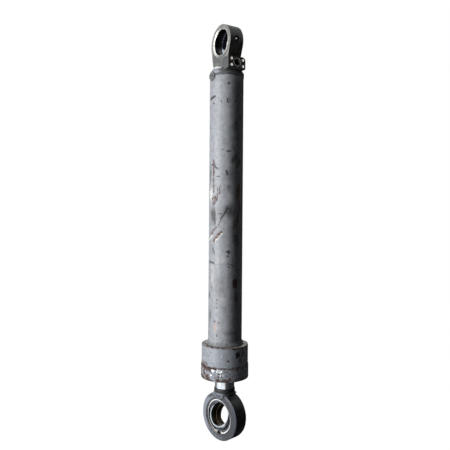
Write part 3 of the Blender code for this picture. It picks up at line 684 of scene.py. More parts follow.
def gland_paint():
    """Grey paint peeled off in flakes to brown primer, with rusty edges and patches knocked to bright steel."""
    mat, shader, m = material("gland_paint", ior=1.5)
    u, v = barrel_coordinates(m, GLAND_R)
    uu, vv = u + (m.noise(0.09, 4.0, 0.65) - 0.5) * 16.0, v + (m.noise(0.1, 4.0, 0.65) - 0.5) * 12.0
    broken = m.noise(0.075, 5.0, 0.66)
    left = m.ramp(u, -22.0, -70.0)
    low = m.ramp(v, GLAND_END + 15.0, GLAND_END + 2.0)
    seam = m.ramp(v, GLAND_TOP - 6.0, GLAND_TOP - 1.0)
    bias = left * 0.085 + low * 0.13 + seam * 0.09 - 0.035
    peeled = m.ramp(broken + bias, 0.525, 0.548)
    bright_zone = smudges(
        m, uu, vv, [(219.0, 371.5, 5.0, 2.4, -8, 1.0), (220.6, 375.6, 1.6, 2.6, 0, 1.0), (212.6, 371.0, 3.4, 2.6, 0, 0.85), (211.0, 375.0, 2.0, 1.6, 0, 0.8), (201.8, 374.6, 1.4, 2.4, 0, 0.7), (205.0, 371.0, 2.6, 2.2, 0, 0.6)], GLAND_R
    )
    speck = m.noise(0.32, 4.0, 0.7)
    bare = m.op("MULTIPLY", m.ramp(bright_zone, 0.25, 0.6), m.ramp(speck, 0.42, 0.52))
    mottle = m.noise(0.12, 5.0, 0.7)
    right = m.ramp(u, 25.0, 60.0)
    paint = m.colour(srgb(128, 133, 142), srgb(164, 169, 178), m.ramp(mottle, 0.36, 0.62))
    primer = m.colour(srgb(100, 84, 78), srgb(56, 38, 32), m.ramp(speck, 0.42, 0.6))
    rust = m.colour(primer, srgb(44, 24, 18), m.low(seam + right * low, 1.0) * 0.8)
    paint = m.colour(paint, srgb(214, 212, 210), m.op("MULTIPLY", m.ramp(broken + bias, 0.5, 0.525), m.ramp(broken + bias, 0.56, 0.53)) * 0.55)
    colour = m.colour(paint, rust, peeled)
    colour = m.colour(colour, srgb(236, 242, 246), bare)
    rough = m.mix(0.46 + mottle * 0.15 + peeled * 0.3, 0.3, bare)
    height = mottle * 0.6 - peeled * 1.6 - bare * 1.2 + speck * 0.4
    finish_material(m, shader, colour, rough, m.bump(height, 0.6, 0.7), bare * 0.75)
    return mat


def cast_paint(name, light, deep, spots=(70, 58, 48), grime=None, painted_highlight=None):
    """Rough skin in blotches of a lighter and a deeper tone, chipped here and there. grime(m) gives 0..1 for black
    areas: oily grime, and painted shadow and shade where the caller paints them. painted_highlight(m) gives 0..1 for a
    painted near-white highlight.
    """
    mat, shader, m = material(name, ior=1.45, coat=0.08, coat_rough=0.3)
    blotch = m.ramp(m.noise(0.045, 5.0, 0.66), 0.38, 0.62)
    grain = m.noise(0.5, 4.0, 0.68)
    chips = m.ramp(m.noise(0.14, 5.0, 0.72), 0.6, 0.66)
    base = m.colour(deep, light, blotch)
    base = m.colour(base, srgb(*spots), chips * 0.6)
    rough = 0.45 + grain * 0.25
    if grime is not None:
        # black from grime(m): oily grime, and painted shadow and shade where the caller paints them
        oil_and_shade = grime(m)
        base = m.colour(base, srgb(25, 21, 19), oil_and_shade)
        rough = m.mix(rough, 0.3, oil_and_shade * 0.6)
    # painted highlight: near-white where the caller paints it
    if painted_highlight is not None:
        base = m.colour(base, srgb(252, 252, 252), painted_highlight(m))
    finish_material(m, shader, base, rough, m.bump(grain + m.noise(0.1, 4.0, 0.6) * 2.4, 0.5, 0.6))
    return mat


def machined(name, dull, bright, centre=None, rough=0.4, metallic=0.3, where=None, stains=(84, 62, 46), shadow=None):
    """Machined steel face with fine turned rings, light stains and small rust freckles.
    where(m) raises the brighter parts towards 1; below 0 it darkens, which on the rod eye's face is painted shade.
    shadow(m) gives 0..1 for painted shadow."""
    mat, shader, m = material(name, ior=1.6)
    if centre is not None:
        dx, dz = m.x - centre[0], m.z - centre[1]
        r = m.root(dx * dx + dz * dz)
        rings = m.op("SINE", r * 4.2 + m.noise(0.05, 2.0) * 5.0)
        lines = m.noise(0.9, 3.0, 0.6, where=m.vector(r, 0.0, 0.0))
    else:
        rings = m.noise(0.6, 2.0) * 2.0 - 1.0
        lines = m.noise(0.6, 3.0)
    mottle = m.noise(0.09, 5.0, 0.68)
    stain = m.ramp(m.noise(0.035, 5.0, 0.62), 0.46, 0.66)
    freckle = m.ramp(m.noise(0.3, 5.0, 0.72), 0.63, 0.69)
    tone_and_shade = m.ramp(mottle, 0.36, 0.62) * 0.4 + m.ramp(lines, 0.35, 0.65) * 0.25
    if where is not None:
        tone_and_shade = m.low(tone_and_shade + where(m), 1.0)
    colour = m.colour(dull, bright, tone_and_shade)
    colour = m.colour(colour, srgb(70, 68, 66), stain * 0.35)
    colour = m.colour(colour, srgb(*stains), freckle * 0.55)
    if shadow is not None:
        colour = m.colour(colour, srgb(26, 26, 29), shadow(m))
    finish_material(
        m,
        shader,
        colour,
        rough + stain * 0.12 + freckle * 0.2,
        m.bump(rings * 0.4 + mottle * 1.2, 0.25, 0.2),
        metallic,
    )
    return mat


def plain_metal(name, colour, rough, spread=0.1, stain=(60, 52, 46), stain_amount=0.35):
    mat, shader, m = material(name, metallic=1.0)
    patch = m.ramp(m.noise(0.08, 4.0, 0.65), 0.45, 0.72)
    fine = m.noise(0.7, 2.0, 0.5, stretch=(1.0, 1.0, 0.2))
    base = m.colour(colour, srgb(*stain), patch * stain_amount)
    finish_material(m, shader, base, rough + fine * spread + patch * 0.1, m.bump(fine, 0.15, 0.1))
    return mat


def rubber_or_plastic(name, colour, rough):
    mat, shader, m = material(name, ior=1.5)
    grain = m.noise(0.8, 3.0, 0.6)
    dust = m.ramp(m.noise(0.06, 3.0), 0.5, 0.8)
    base = m.colour(colour, tuple(min(1.0, c * 2.2 + 0.01) for c in colour), dust * 0.5)
    finish_material(m, shader, base, rough + grain * 0.12, m.bump(grain, 0.2, 0.1))
    return mat


def rear_bush():
    """Dark oiled steel with turned grooves, and a painted highlight low on the side that faces the light."""
    mat, shader, m = material("bush_rear_steel", ior=1.6)
    lines = m.ramp(m.noise(0.5, 2.0, 0.5, stretch=(0.04, 1.0, 0.04)), 0.4, 0.56)
    height = m.z + m.y * 0.25 + (m.noise(0.08, 3.0) - 0.5) * 14.0
    band = m.op("MULTIPLY", m.ramp(height, 4.0, -10.0), m.ramp(height, -46.0, -36.0))
    painted_highlight_band = m.op("MULTIPLY", band, m.ramp(m.x, -6.0, -16.0))
    colour = m.colour(srgb(54, 56, 64), srgb(100, 106, 122), lines)
    # painted highlight: near-white band low on the bore wall
    colour = m.colour(colour, srgb(236, 243, 255), m.op("MULTIPLY", painted_highlight_band, m.mix(0.55, 1.0, lines)))
    finish_material(m, shader, colour, 0.18 + lines * 0.08, m.bump(lines, 0.2, 0.1), 0.95)
    return mat


def chrome_material():
    mat, shader, m = material("hard_chrome", metallic=1.0)
    smear = m.ramp(m.noise(0.04, 4.0, 0.6, stretch=(1.0, 1.0, 0.4)), 0.42, 0.7)
    scratch = m.ramp(m.noise(0.9, 2.0, 0.5, stretch=(1.0, 1.0, 0.03)), 0.6, 0.75)
    colour = m.colour(srgb(214, 222, 228), srgb(150, 138, 124), smear * 0.4)
    finish_material(m, shader, colour, 0.08 + smear * 0.12 + scratch * 0.08, m.bump(scratch, 0.06, 0.05))
    return mat


PAINTS = [barrel_paint(i + 1, PAINT_ROWS[i], PAINT_ROWS[i + 1]) for i in range(4)]
def shadow_and_oil_under_pad(m):
    """Painted shadow under the port pad, with oily grime that has run down from it."""
    near = m.op("MULTIPLY", m.ramp(m.x + (m.noise(0.08, 4.0) - 0.5) * 24.0, 18.0, 40.0), m.ramp(m.z, -128.0, -112.0))
    return near * 0.9


def eye_side_darker_low(m):
    """The eye's flank: lighter towards the top and the front edge, black lower down."""
    height = m.ramp(m.z + m.y * 0.6 + (m.noise(0.05, 4.0) - 0.5) * 40.0, 34.0, -14.0)
    patches = m.ramp(m.noise(0.04, 5.0, 0.65), 0.46, 0.62)
    return m.low(height * 0.72 + patches * 0.25, 1.0)


def rod_side_shade_and_oil(m):
    """The rod eye's rim: grey on the shoulder and the left, brown-black on the right; the darkening to the right is
    painted shade, over oily patches.
    """
    right = m.ramp(m.x * RIGHT.x + m.y * RIGHT.y + (m.noise(0.05, 4.0) - 0.5) * 22.0, -8.0, 14.0)
    patches = m.ramp(m.noise(0.05, 5.0, 0.65), 0.45, 0.62)
    return m.low(right * 0.85 + patches * 0.3, 1.0)


def ring_zone(m):
    """The turned ring round the base eye's bore, brighter than the apron below it."""
    r = m.root(m.x * m.x + m.z * m.z)
    inner = m.ramp(r, 58.0, 50.5) * 0.45
    edge = m.op("MULTIPLY", m.ramp(r, 61.0, 62.6), m.ramp(m.x, 18.0, 34.0)) * 1.2
    return edge + m.ramp(m.z, -40.0, -8.0) * 0.4 + m.op("MULTIPLY", inner, m.ramp(m.z, -50.0, -30.0)) + m.ramp(m.x, -46.0, -60.0) * 0.5


def rod_face_lighter_left_shaded_right(m):
    """Lighter on the left of the rod eye's face, low down; darker to the right, which is painted shade."""
    side = m.x * RIGHT.x + m.y * RIGHT.y
    low = m.ramp(m.z, ROD_EYE_Z - 70.0, ROD_EYE_Z - 30.0)
    return m.op("MULTIPLY", m.ramp(side, -34.0, -66.0), low) * 0.9 - m.ramp(side, -20.0, 10.0) * 0.45


def painted_shadow_on_rod_face(m):
    """Painted shadow on the rod eye's face: a dark line along the foot of the round shoulder, round the bearing seat
    and near the top of the rim, and painted shade over the right side.
    """
    across = m.x * math.cos(TURN) + m.y * math.sin(TURN)
    up = m.z - ROD_EYE_Z - 64.8 - across * across * 0.0168
    r = m.root(across * across + (m.z - ROD_EYE_Z) * (m.z - ROD_EYE_Z))
    wander = (m.noise(0.2, 3.0) - 0.5) * 2.0
    side = m.x * RIGHT.x + m.y * RIGHT.y
    line = m.high(m.ramp(up + wander, -10.5, -7.0) * 0.92, m.ramp(r + wander, 65.8, 63.6) * 0.88)
    rim = m.op("MULTIPLY", m.ramp(r + wander, 71.5, 75.0), m.ramp(m.z - ROD_EYE_Z, 50.0, 62.0)) * 0.75
    line = m.high(line, rim)
    return m.high(line, m.ramp(side + wander * 3.0, -26.0, 20.0) * 0.55)


def cap_painted_highlight(m):
    """Painted highlight on the cap's shoulder, below the left of the apron, where the paint is rubbed to bare metal."""
    side = m.x * RIGHT.x + m.y * RIGHT.y + (m.noise(0.15, 3.0) - 0.5) * 8.0
    height = m.z + (m.noise(0.2, 3.0) - 0.5) * 2.0
    band = m.op("MULTIPLY", m.ramp(height, -101.0, -99.0), m.ramp(height, -90.0, -92.0))
    return m.op("MULTIPLY", band, m.op("MULTIPLY", m.ramp(side, -46.0, -42.0), m.ramp(side, -18.0, -24.0)))


CAP_PAINT = cast_paint("cap_paint", srgb(164, 168, 174), srgb(140, 144, 150), grime=shadow_and_oil_under_pad, painted_highlight=cap_painted_highlight)
BOSS_PAINT = cast_paint("boss_paint", srgb(138, 142, 140), srgb(104, 106, 104))
CAST_SIDE = cast_paint("eye_side", srgb(138, 136, 132), srgb(96, 94, 92), grime=eye_side_darker_low)
EYE_BODY = CAST_SIDE
EYE_FACE = machined("eye_face", srgb(84, 86, 87), srgb(158, 157, 152), (0.0, 0.0), where=ring_zone)
PAD_SIDE = machined("pad_side", srgb(88, 88, 88), srgb(112, 112, 112))
PAD_FACE = cast_paint("pad_face", srgb(70, 64, 58), srgb(20, 18, 16), spots=(130, 124, 118))
# The port's turned ring is a near-white non-metal: a painted sheen for the bright machined ring.
PAD_RING = machined("pad_ring", srgb(236, 234, 230), srgb(255, 254, 250), metallic=0.0)
BORE_EDGE = plain_metal("bore_edge", srgb(222, 220, 214), 0.3)
# Near-black in the grease nipple's pocket: painted shade in the recess.
POCKET = cast_paint("pocket_painted_shade", srgb(26, 25, 25), srgb(12, 12, 12), spots=(60, 58, 56))
HOLE_DARK = plain_metal("hole_steel", srgb(100, 96, 92), 0.3, stain=(20, 18, 16), stain_amount=0.9)
WELD = cast_paint("weld_paint", srgb(158, 161, 165), srgb(120, 120, 120))
SEAM_WELD = cast_paint("seam_weld_paint", srgb(96, 98, 102), srgb(58, 58, 60))
ROD_WELD = cast_paint("rod_weld", srgb(30, 30, 36), srgb(14, 13, 13))
# The front bush's steel is made dark as painted shade inside the bore.
BUSH = plain_metal("bush_steel", srgb(60, 60, 64), 0.26, stain=(30, 30, 34), stain_amount=0.7)
BUSH_REAR = rear_bush()
STEEL = plain_metal("machined_steel", srgb(176, 176, 176), 0.3)
RACE = plain_metal("bearing_steel", srgb(96, 98, 104), 0.2, stain=(34, 32, 32), stain_amount=0.6)
CHROME = chrome_material()
FORGED = cast_paint("forged_side", srgb(132, 138, 148), srgb(94, 96, 102), grime=rod_side_shade_and_oil)
ROD_FACE = machined(
    "rod_eye_face", srgb(62, 66, 74), srgb(132, 139, 149), (0.0, ROD_EYE_Z), rough=0.42, where=rod_face_lighter_left_shaded_right, shadow=painted_shadow_on_rod_face
)
ROD_CHAMFER = machined("rod_eye_chamfer", srgb(86, 90, 102), srgb(136, 142, 156), where=rod_face_lighter_left_shaded_right)
PLASTIC = rubber_or_plastic("guide_ring_plastic", srgb(120, 84, 50), 0.5)
RUBBER = rubber_or_plastic("seal_rubber", srgb(24, 24, 25), 0.5)
BALL = plain_metal("ball_steel", srgb(176, 182, 188), 0.16, stain=(40, 38, 38), stain_amount=0.5)
BALL_BORE = plain_metal("ball_bore", srgb(88, 76, 62), 0.38, stain=(22, 18, 14), stain_amount=0.85)
CLIP = plain_metal("circlip_steel", srgb(92, 90, 88), 0.3, stain=(34, 28, 24), stain_amount=0.6)
# The circlips' ear ends in near-white steel: painted glints.
CLIP_EAR_GLINT = plain_metal("circlip_ear_glint", srgb(226, 228, 230), 0.25, stain=(120, 120, 120), stain_amount=0.3)
COLLAR_PAINT = collar_paint()
GLAND_PAINT = gland_paint()


# ================================================================== pieces
def place(obj, body, *nodes, slot=None):
    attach(obj, body)
    if nodes:
        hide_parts(*nodes)
    return obj


def along_y_frame():
    return Matrix.Rotation(math.radians(90), 4, "X")


VOXEL = 1.1


def eye_outline(shrink=0.0):
    r = EYE_R - shrink
    head = arc(0, EYE_CENTRE_Z, r, -26, 200, 96)
    left = [(-58 + shrink, -49), (-52 + shrink, -72), (-44 + shrink, -84), (-40 + shrink, -97)]
    right = [(40 - shrink, -97), (51 - shrink, -84), (50 - shrink, -57)]
    return right + head + left


def mark_faces(obj, rule):
    """Gives each face the material number that rule(centre in mm, normal) returns."""
    mesh = obj.data
    for poly in mesh.polygons:
        poly.material_index = rule(poly.center * 1000, poly.normal)


def build_base_eye():
    eye = prism("eye_blank", round_corners(eye_outline(0.2), 6.0), -EYE_HALF - 3, EYE_HALF + 3, along_y_frame())
    cap = lathe(
        "cap_blank",
        round_corners(
            [(0, -78), (36, -82.5), (46.8, -90), (61.8, -110.8), (62.0, -119.0), (52, -119.0), (52, -126), (0, -126)],
            [0, 3, 4, 2, 1, 0, 0, 0],
        ),
    )
    pad_outline = round_corners([(-35.8, -105.8), (35.8, -105.8), (35.8, -62.2), (-35.8, -62.2)], [2.5, 5, 12, 3], 8)
    along_x = Matrix(((0, 0, 1, 0), (1, 0, 0, 0), (0, 1, 0, 0), (0, 0, 0, 1)))
    pad = prism("pad_blank", pad_outline, 28, 68, along_x)
    body = melt([eye, cap, pad], "base_eye_body", VOXEL, 6)

    cutters = []
    face = [(-80, -88), (-30, -90), (27.6, -96), (27.6, -60.5), (80, -60.5), (80, 80), (-80, 80)]
    cutters.append(prism("front", face, EYE_HALF, EYE_HALF + 20, along_y_frame()))
    cutters.append(prism("rear", face, -EYE_HALF - 20, -EYE_HALF, along_y_frame()))
    cutters.append(prism("pad_face", [(-50, -115), (50, -115), (50, -50), (-50, -50)], 66, 90, along_x))
    h = EYE_HALF
    cutters.append(
        lathe(
            "bush_seat",
            [(0, -60), (80, -60), (51.9 + 28, -h - 28), (50.4, -h + 1.5), (50.4, h - 1.5), (51.9 + 28, h + 28), (80, 60), (0, 60)],
            about((0, 1, 0)),
            sides=128,
        )
    )
    cutters.append(
        lathe(
            "nipple_pocket",
            [(0, 57.5), (10.5, 57.5), (10.5, 64.2), (13.5, 67.5), (13.5, 90), (0, 90)],
            about((1, 0, 0)),
            sides=48,
        )
    )
    cutters.append(cylinder("nipple_hole", 3.3, 44, 62, about((1, 0, 0)), 24))
    cutters.append(
        lathe(
            "port",
            [(0, 12), (9.5, 12), (9.5, 64.9), (10.4, 66.5), (10.4, 80), (0, 80)],
            about((1, 0, 0), (0, 0, PORT_Z)),
            sides=64,
        )
    )
    # O-ring land: a shallow turned ring round the port
    cutters.append(
        lathe(
            "port_land",
            [(12.2, 65.0), (16.2, 65.0), (16.2, 80), (12.2, 80)],
            about((1, 0, 0), (0, 0, PORT_Z)),
            sides=64,
        )
    )
    for i, (sy, sz) in enumerate(((-1, 1), (1, 1), (1, -1), (-1, -1))):
        thread = []
        x = 46.0
        while x < 64.5:
            thread += [(4.3, x), (5.1, x + 0.75)]
            x += 1.5
        profile = [(0, 46.0)] + thread + [(4.4, 64.6), (6.2, 66.4), (6.2, 80), (0, 80)]
        cutters.append(
            lathe(f"bolt_{i}", profile, about((1, 0, 0), (0, sy * 23.8, PORT_Z + sz * 11.1)), sides=32)
        )
    for cutter in cutters:
        boolean(body, [cutter], "DIFFERENCE")
    dress(body, EYE_BODY, EYE_FACE, HOLE_DARK, BORE_EDGE, CAP_PAINT, PAD_SIDE, PAD_FACE, PAD_RING, POCKET)

    def rule(c, n):
        if abs(n.y) > 0.995 and abs(abs(c.y) - EYE_HALF) < 0.05:
            return 1
        r = math.hypot(c.x, c.z)
        if abs(r - 50.4) < 0.2 and abs(c.y) < EYE_HALF:
            return 2
        if r < 53 and abs(c.y) > EYE_HALF - 1.7 and abs(n.y) > 0.5:
            return 3
        if abs(c.x - 65.0) < 0.1 and n.x > 0.9 and c.z < -65:
            return 7
        if c.x > 40 and c.x < 65.98:
            for sy in (-1, 1):
                for sz in (-1, 1):
                    if math.hypot(c.y - sy * 23.8, c.z - PORT_Z - sz * 11.1) < 6.25:
                        return 3
            if math.hypot(c.y, c.z - PORT_Z) < 10.3:
                return 2
        if 60 < c.x < 65.95 and math.hypot(c.y, c.z - PORT_Z) < 16.3:
            return 7
        if c.x > 57 and math.hypot(c.y, c.z) < 13.9:
            return 8
        if c.x > 10 and abs(c.y) < 10.6 and abs(c.z) < 10.6 and c.x < 62 and n.x > 0.3:
            return 2
        if c.x > 64.5 and n.x > 0.7 and c.z < -55:
            return 6
        on_pad = c.x > 24 and abs(c.y) < 37 and -105.5 < c.z < -61
        if on_pad and n.y < -0.6:
            return 5
        if c.z < -84 and not on_pad:
            return 4
        return 0

    mark_faces(body, rule)
    shade(body, 32)
    place(body, "barrel", "base_eye", slot="grey_paint")
    return body


def build_base_trim():
    for name, node, side, mat in (
        ("base_bush_front_ring", "base_bush_front", -1, BUSH),
        ("base_bush_rear_ring", "base_bush_rear", 1, BUSH_REAR),
    ):
        ring = lathe(
            name,
            round_corners(
                [(45.2, 7), (49.6, 7), (50, 8), (50, 26.4), (46.9, 26.4), (45.2, 24.8)],
                [0.8, 0.5, 0.5, 0.4, 0.3, 0.4],
                3,
            ),
            about((0, side, 0)),
            (mat, BORE_EDGE),
            128,
        )
        mark_faces(ring, lambda c, n: 1 if abs(c.y) > 24.6 and math.hypot(c.x, c.z) < 49.9 else 0)
        place(ring, "barrel", node, slot="bush_steel")
    nipple = lathe(
        "base_nipple",
        round_corners(
            [(0, 50.9), (2.9, 50.9), (2.9, 57.9), (5.0, 57.9), (5.0, 61.0), (2.6, 61.6), (2.0, 62.6), (3.0, 63.4), (3.0, 64.6), (1.6, 65.5), (0, 65.5)],
            [0, 0, 0, 0.3, 0.4, 0.3, 0.4, 0.3, 0.4, 0.4, 0],
            3,
        ),
        about((1, 0, 0)),
        (STEEL,),
        32,
    )
    place(nipple, "barrel", "base_grease_nipple", slot="machined_steel")


def build_bleed():
    boss = lathe(
        "bleed_boss_lump",
        round_corners(
            [(5.3, 52.0), (17, 50.0), (17, 62.8), (13.0, 65.9), (10.2, 65.9), (9.4, 63.6), (5.3, 63.6)],
            [0, 0, 1.5, 2.0, 0.3, 0.2, 0.2],
        ),
        about((0, -1, 0), (0, 0, BLEED_Z)),
        (),
        72,
    )
    shell = lathe(
        "saddle",
        [(0, -80), (62.7, -80), (62.7, -119.5), (62.2, -119.5), (62.2, -127.5), (60.9, -127.5), (60.9, -170), (0, -170)],
        sides=160,
    )
    boolean(boss, [shell], "DIFFERENCE")
    dress(boss, BOSS_PAINT)
    shade(boss, 40)
    place(boss, "barrel", "bleed_boss", slot="grey_paint")
    screw = lathe(
        "bleed_plug",
        round_corners(
            [(0, 54), (4.9, 54), (4.9, 64.0), (8.0, 64.0), (8.0, 66.4), (3.4, 66.9), (3.0, 63.6), (0, 63.6)],
            [0, 0, 0, 0.3, 0.6, 0.3, 0.2, 0],
            3,
        ),
        about((0, -1, 0), (0, 0, BLEED_Z)),
        (BOSS_PAINT,),
        40,
    )
    place(screw, "barrel", "bleed_screw", slot="machined_steel")


def ripple(amount, step_deg):
    """Weld ripples: overlapping scallops round a bead."""

    def shift(angle, height, radius):
        t = math.degrees(angle) / step_deg
        return amount * (abs(math.sin(math.pi * t)) - 0.6)

    return shift


def build_barrel():
    heights = [on_barrel(226.0, row, TUBE_R)[1] for row in PAINT_ROWS[1:4]]
    rows = sorted(heights + [TUBE_END + (TUBE_TOP - 3 - TUBE_END) * i / 24 for i in range(1, 25)])
    tube = lathe(
        "barrel_tube_skin",
        [(52.6, TUBE_END), (60.5, TUBE_END)] + [(60.5, z) for z in rows] + [(58.6, TUBE_TOP), (52.6, TUBE_TOP)],
        mats=tuple(PAINTS),
        sides=192,
    )
    mark_faces(tube, lambda c, n: sum(1 for z in heights if c.z < z))
    place(tube, "barrel", "barrel_tube", slot="grey_paint")
    bead = [(60.85, -126.8)] + [
        (60.8 + 1.15 * math.sin(math.pi * k / 8), -126.6 + 6.9 * k / 8) for k in range(1, 8)
    ] + [(60.9, -119.6), (59.4, -119.6), (59.4, -120.6)]
    weld = lathe("cap_weld_bead", bead, mats=(SEAM_WELD,), sides=360, smooth_angle=60, wobble=ripple(0.16, 3.0))
    place(weld, "barrel", "cap_weld", slot="painted_weld")
    collar = lathe(
        "barrel_collar_skin",
        round_corners(
            [(66.5, COLLAR_END), (83.2, COLLAR_END), (83.2, COLLAR_TOP), (60.9, COLLAR_TOP), (60.9, -1100.4), (66.5, -1100.4)],
            [0.3, 0.9, 1.4, 0.3, 0, 0],
        ),
        mats=(COLLAR_PAINT,),
        sides=192,
    )
    place(collar, "barrel", "barrel_collar", slot="grey_paint")
    fillet = lathe(
        "collar_weld_bead",
        [(60.9, -1076.2), (66.3, -1076.2), (66.2, -1075.0), (65.2, -1073.2), (63.4, -1069.6), (61.9, -1066.0), (61.1, -1063.2), (60.9, -1062.8)],
        mats=(WELD,),
        sides=360,
        smooth_angle=70,
        wobble=ripple(0.25, 2.5),
    )
    place(fillet, "barrel", "collar_weld", slot="painted_weld")


def build_gland():
    nut = lathe(
        "gland_nut_skin",
        round_corners(
            [(45.9, -1101.2), (65.9, -1101.2), (65.9, GLAND_TOP), (85.0, GLAND_TOP), (85.0, GLAND_END), (51.2, GLAND_END), (51.2, -1185.8), (45.9, -1185.8)],
            [0, 0, 0, 0.8, 1.2, 0.6, 0, 0],
        ),
        mats=(GLAND_PAINT, HOLE_DARK),
        sides=192,
    )
    hole = cylinder("grub_hole", 6.4, 66.0, 100, about(SET_SCREW_DIR, (0, 0, SET_SCREW_Z)), 40)
    boolean(nut, [hole], "DIFFERENCE")
    shade(nut, 32)
    place(nut, "barrel", "gland_nut", slot="worn_gland_paint")
    screw = lathe(
        "gland_grub_screw",
        round_corners([(0, 66.7), (5.9, 66.7), (5.9, 82.7), (3.0, 82.7), (2.7, 77.2), (0, 77.2)], [0, 0, 0.6, 0.3, 0.2, 0], 3),
        about(SET_SCREW_DIR, (0, 0, SET_SCREW_Z)),
        (STEEL,),
        36,
    )
    place(screw, "barrel", "gland_set_screw", slot="machined_steel")


def build_rods():
    rod = lathe(
        "rod_chrome",
        [(25.2, ROD_END), (33.6, ROD_END), (35, ROD_END + 1.4), (35, -600), (35, -179.8), (33.5, -179.8), (33.5, -175.4), (35, -175.4), (35, -166), (34, -165), (25.2, -165)],
        mats=(CHROME,),
        sides=160,
    )
    place(rod, "rod", "rod_tube", slot="hard_chrome")
    stage = lathe(
        "stage_chrome",
        [(41.95, -1193.9), (44.8, -1193.9), (45.5, -1193.2), (45.5, -600), (45.5, -159.8), (43.7, -159.8), (43.7, -155.4), (45.5, -155.4), (45.5, -150.6), (44.9, -150), (38.7, -150), (38.7, -1119.4), (41.95, -1119.4)],
        mats=(CHROME,),
        sides=160,
    )
    place(stage, "stage", "stage_tube", slot="hard_chrome")
    weld = lathe(
        "rod_eye_weld_bead",
        [(35.5, -1246.8), (36.5, -1246.8), (37.2, -1244.6), (37.4, -1241.6), (37.2, -1238.2), (36.5, -1235.2), (35.6, -1232.8), (35.5, -1232.8)],
        mats=(ROD_WELD,),
        sides=240,
        smooth_angle=60,
        wobble=ripple(0.3, 5.0),
    )
    place(weld, "rod", "rod_eye_weld", slot="painted_weld")


def build_rod_eye():
    where = rod_eye_frame()
    along_bore = where @ about((0, 1, 0))
    disc = lathe(
        "disc",
        round_corners([(0, -34.5), (84.6, -34.5), (84.6, 34.5), (0, 34.5)], [0, 2, 2, 0]),
        along_bore,
        sides=128,
    )
    shoulder = lathe(
        "shoulder",
        round_corners(
            [(0, -1228), (34.4, -1228), (34.4, -1247.0), (36.9, -1247.6), (39.3, -1250.6), (40.1, -1254.5), (38.5, -1258.4), (27, -1273.8), (0, -1273.8)],
            [0, 0, 0.4, 1, 2, 2, 3, 4, 0],
        ),
        sides=128,
    )
    body = melt([disc, shoulder], "rod_eye_body", VOXEL, 5)
    cutters = [
        # clear the blank's top so that the weld and rod end keep their room
        lathe("rod_room", [(24.4, -1210), (60, -1210), (60, -1247.2), (34.7, -1247.2), (34.7, -1240.5), (24.4, -1240.5)], sides=96),
    ]
    front = 1 if (where.to_3x3() @ Vector((0, 1, 0))).dot(BACK) > 0 else -1
    rims = {front: [(78.9, 31.5), (84.9, 26.0)], -front: [(75.5, 31.5), (79.6, 29.2), (82.6, 25.6), (84.2, 20.5), (84.9, 14.0)]}
    for side in (-1, 1):
        rim = rims[side]
        cutters.append(
            lathe(
                f"facing_{side}",
                [(0, 31.5)] + rim + [(85.4, rim[-1][1]), (85.4, 60), (0, 60)],
                where @ about((0, side, 0)),
                sides=160,
            )
        )
        # keep the round shoulder: the facing cut stops below it
        boolean(
            cutters[-1],
            [prism(f"shoulder_guard_{side}", [(-26.5, 76.6), (-20, 70.6), (-12, 66.6), (0, 64.8), (12, 66.6), (20, 70.6), (26.5, 76.6), (30, 100), (-30, 100)], -80, 80, where @ along_y_frame())],
            "DIFFERENCE",
        )
    seat, groove, h = 60.4, 62.2, ROD_EYE_HALF
    cutters.append(
        lathe(
            "seat",
            [(0, -60), (seat + 34, -60), (seat + 1.6, -h - 0.4), (seat, -h + 1.2), (seat, -26.7), (groove, -26.7), (groove, -22.7), (seat, -22.7),
             (seat, 22.7), (groove, 22.7), (groove, 26.7), (seat, 26.7), (seat, h - 1.2), (seat + 1.6, h + 0.4), (seat + 34, 60), (0, 60)],
            along_bore,
            sides=160,
        )
    )
    side = where @ about((-1, 0, 0))
    cutters.append(cylinder("nipple_hole", 3.3, 40, 100, side, 24))
    cutters.append(cylinder("nipple_flat", 9.0, 82.5, 100, side, 40))
    for cutter in cutters:
        boolean(body, [cutter], "DIFFERENCE")
    dress(body, FORGED, ROD_FACE, HOLE_DARK, ROD_CHAMFER)
    back = where.inverted()

    def rule(c, n):
        p = back @ c
        q = back.to_3x3() @ n
        r = math.hypot(p.x, p.z)
        if abs(q.y) > 0.99 and abs(abs(p.y) - ROD_EYE_HALF) < 0.06:
            return 1
        if 78.5 < r < 85.2 and abs(p.y) > 25.9 and 0.5 < abs(q.y) < 0.9 and p.z < 76:
            return 3
        if r < 62.6:
            return 2
        return 0

    mark_faces(body, rule)
    shade(body, 32)
    place(body, "rod", "rod_eye", slot="oily_forging")
    nipple = lathe(
        "rod_nipple",
        round_corners(
            [(0, 62.1), (2.8, 62.1), (2.8, 82.9), (5.0, 82.9), (5.0, 86.0), (2.6, 86.6), (2.0, 87.6), (3.0, 88.4), (3.0, 89.6), (1.6, 90.5), (0, 90.5)],
            [0, 0, 0, 0.3, 0.4, 0.3, 0.4, 0.3, 0.4, 0.4, 0],
            3,
        ),
        side,
        (STEEL,),
        32,
    )
    place(nipple, "rod", "rod_grease_nipple", slot="machined_steel")


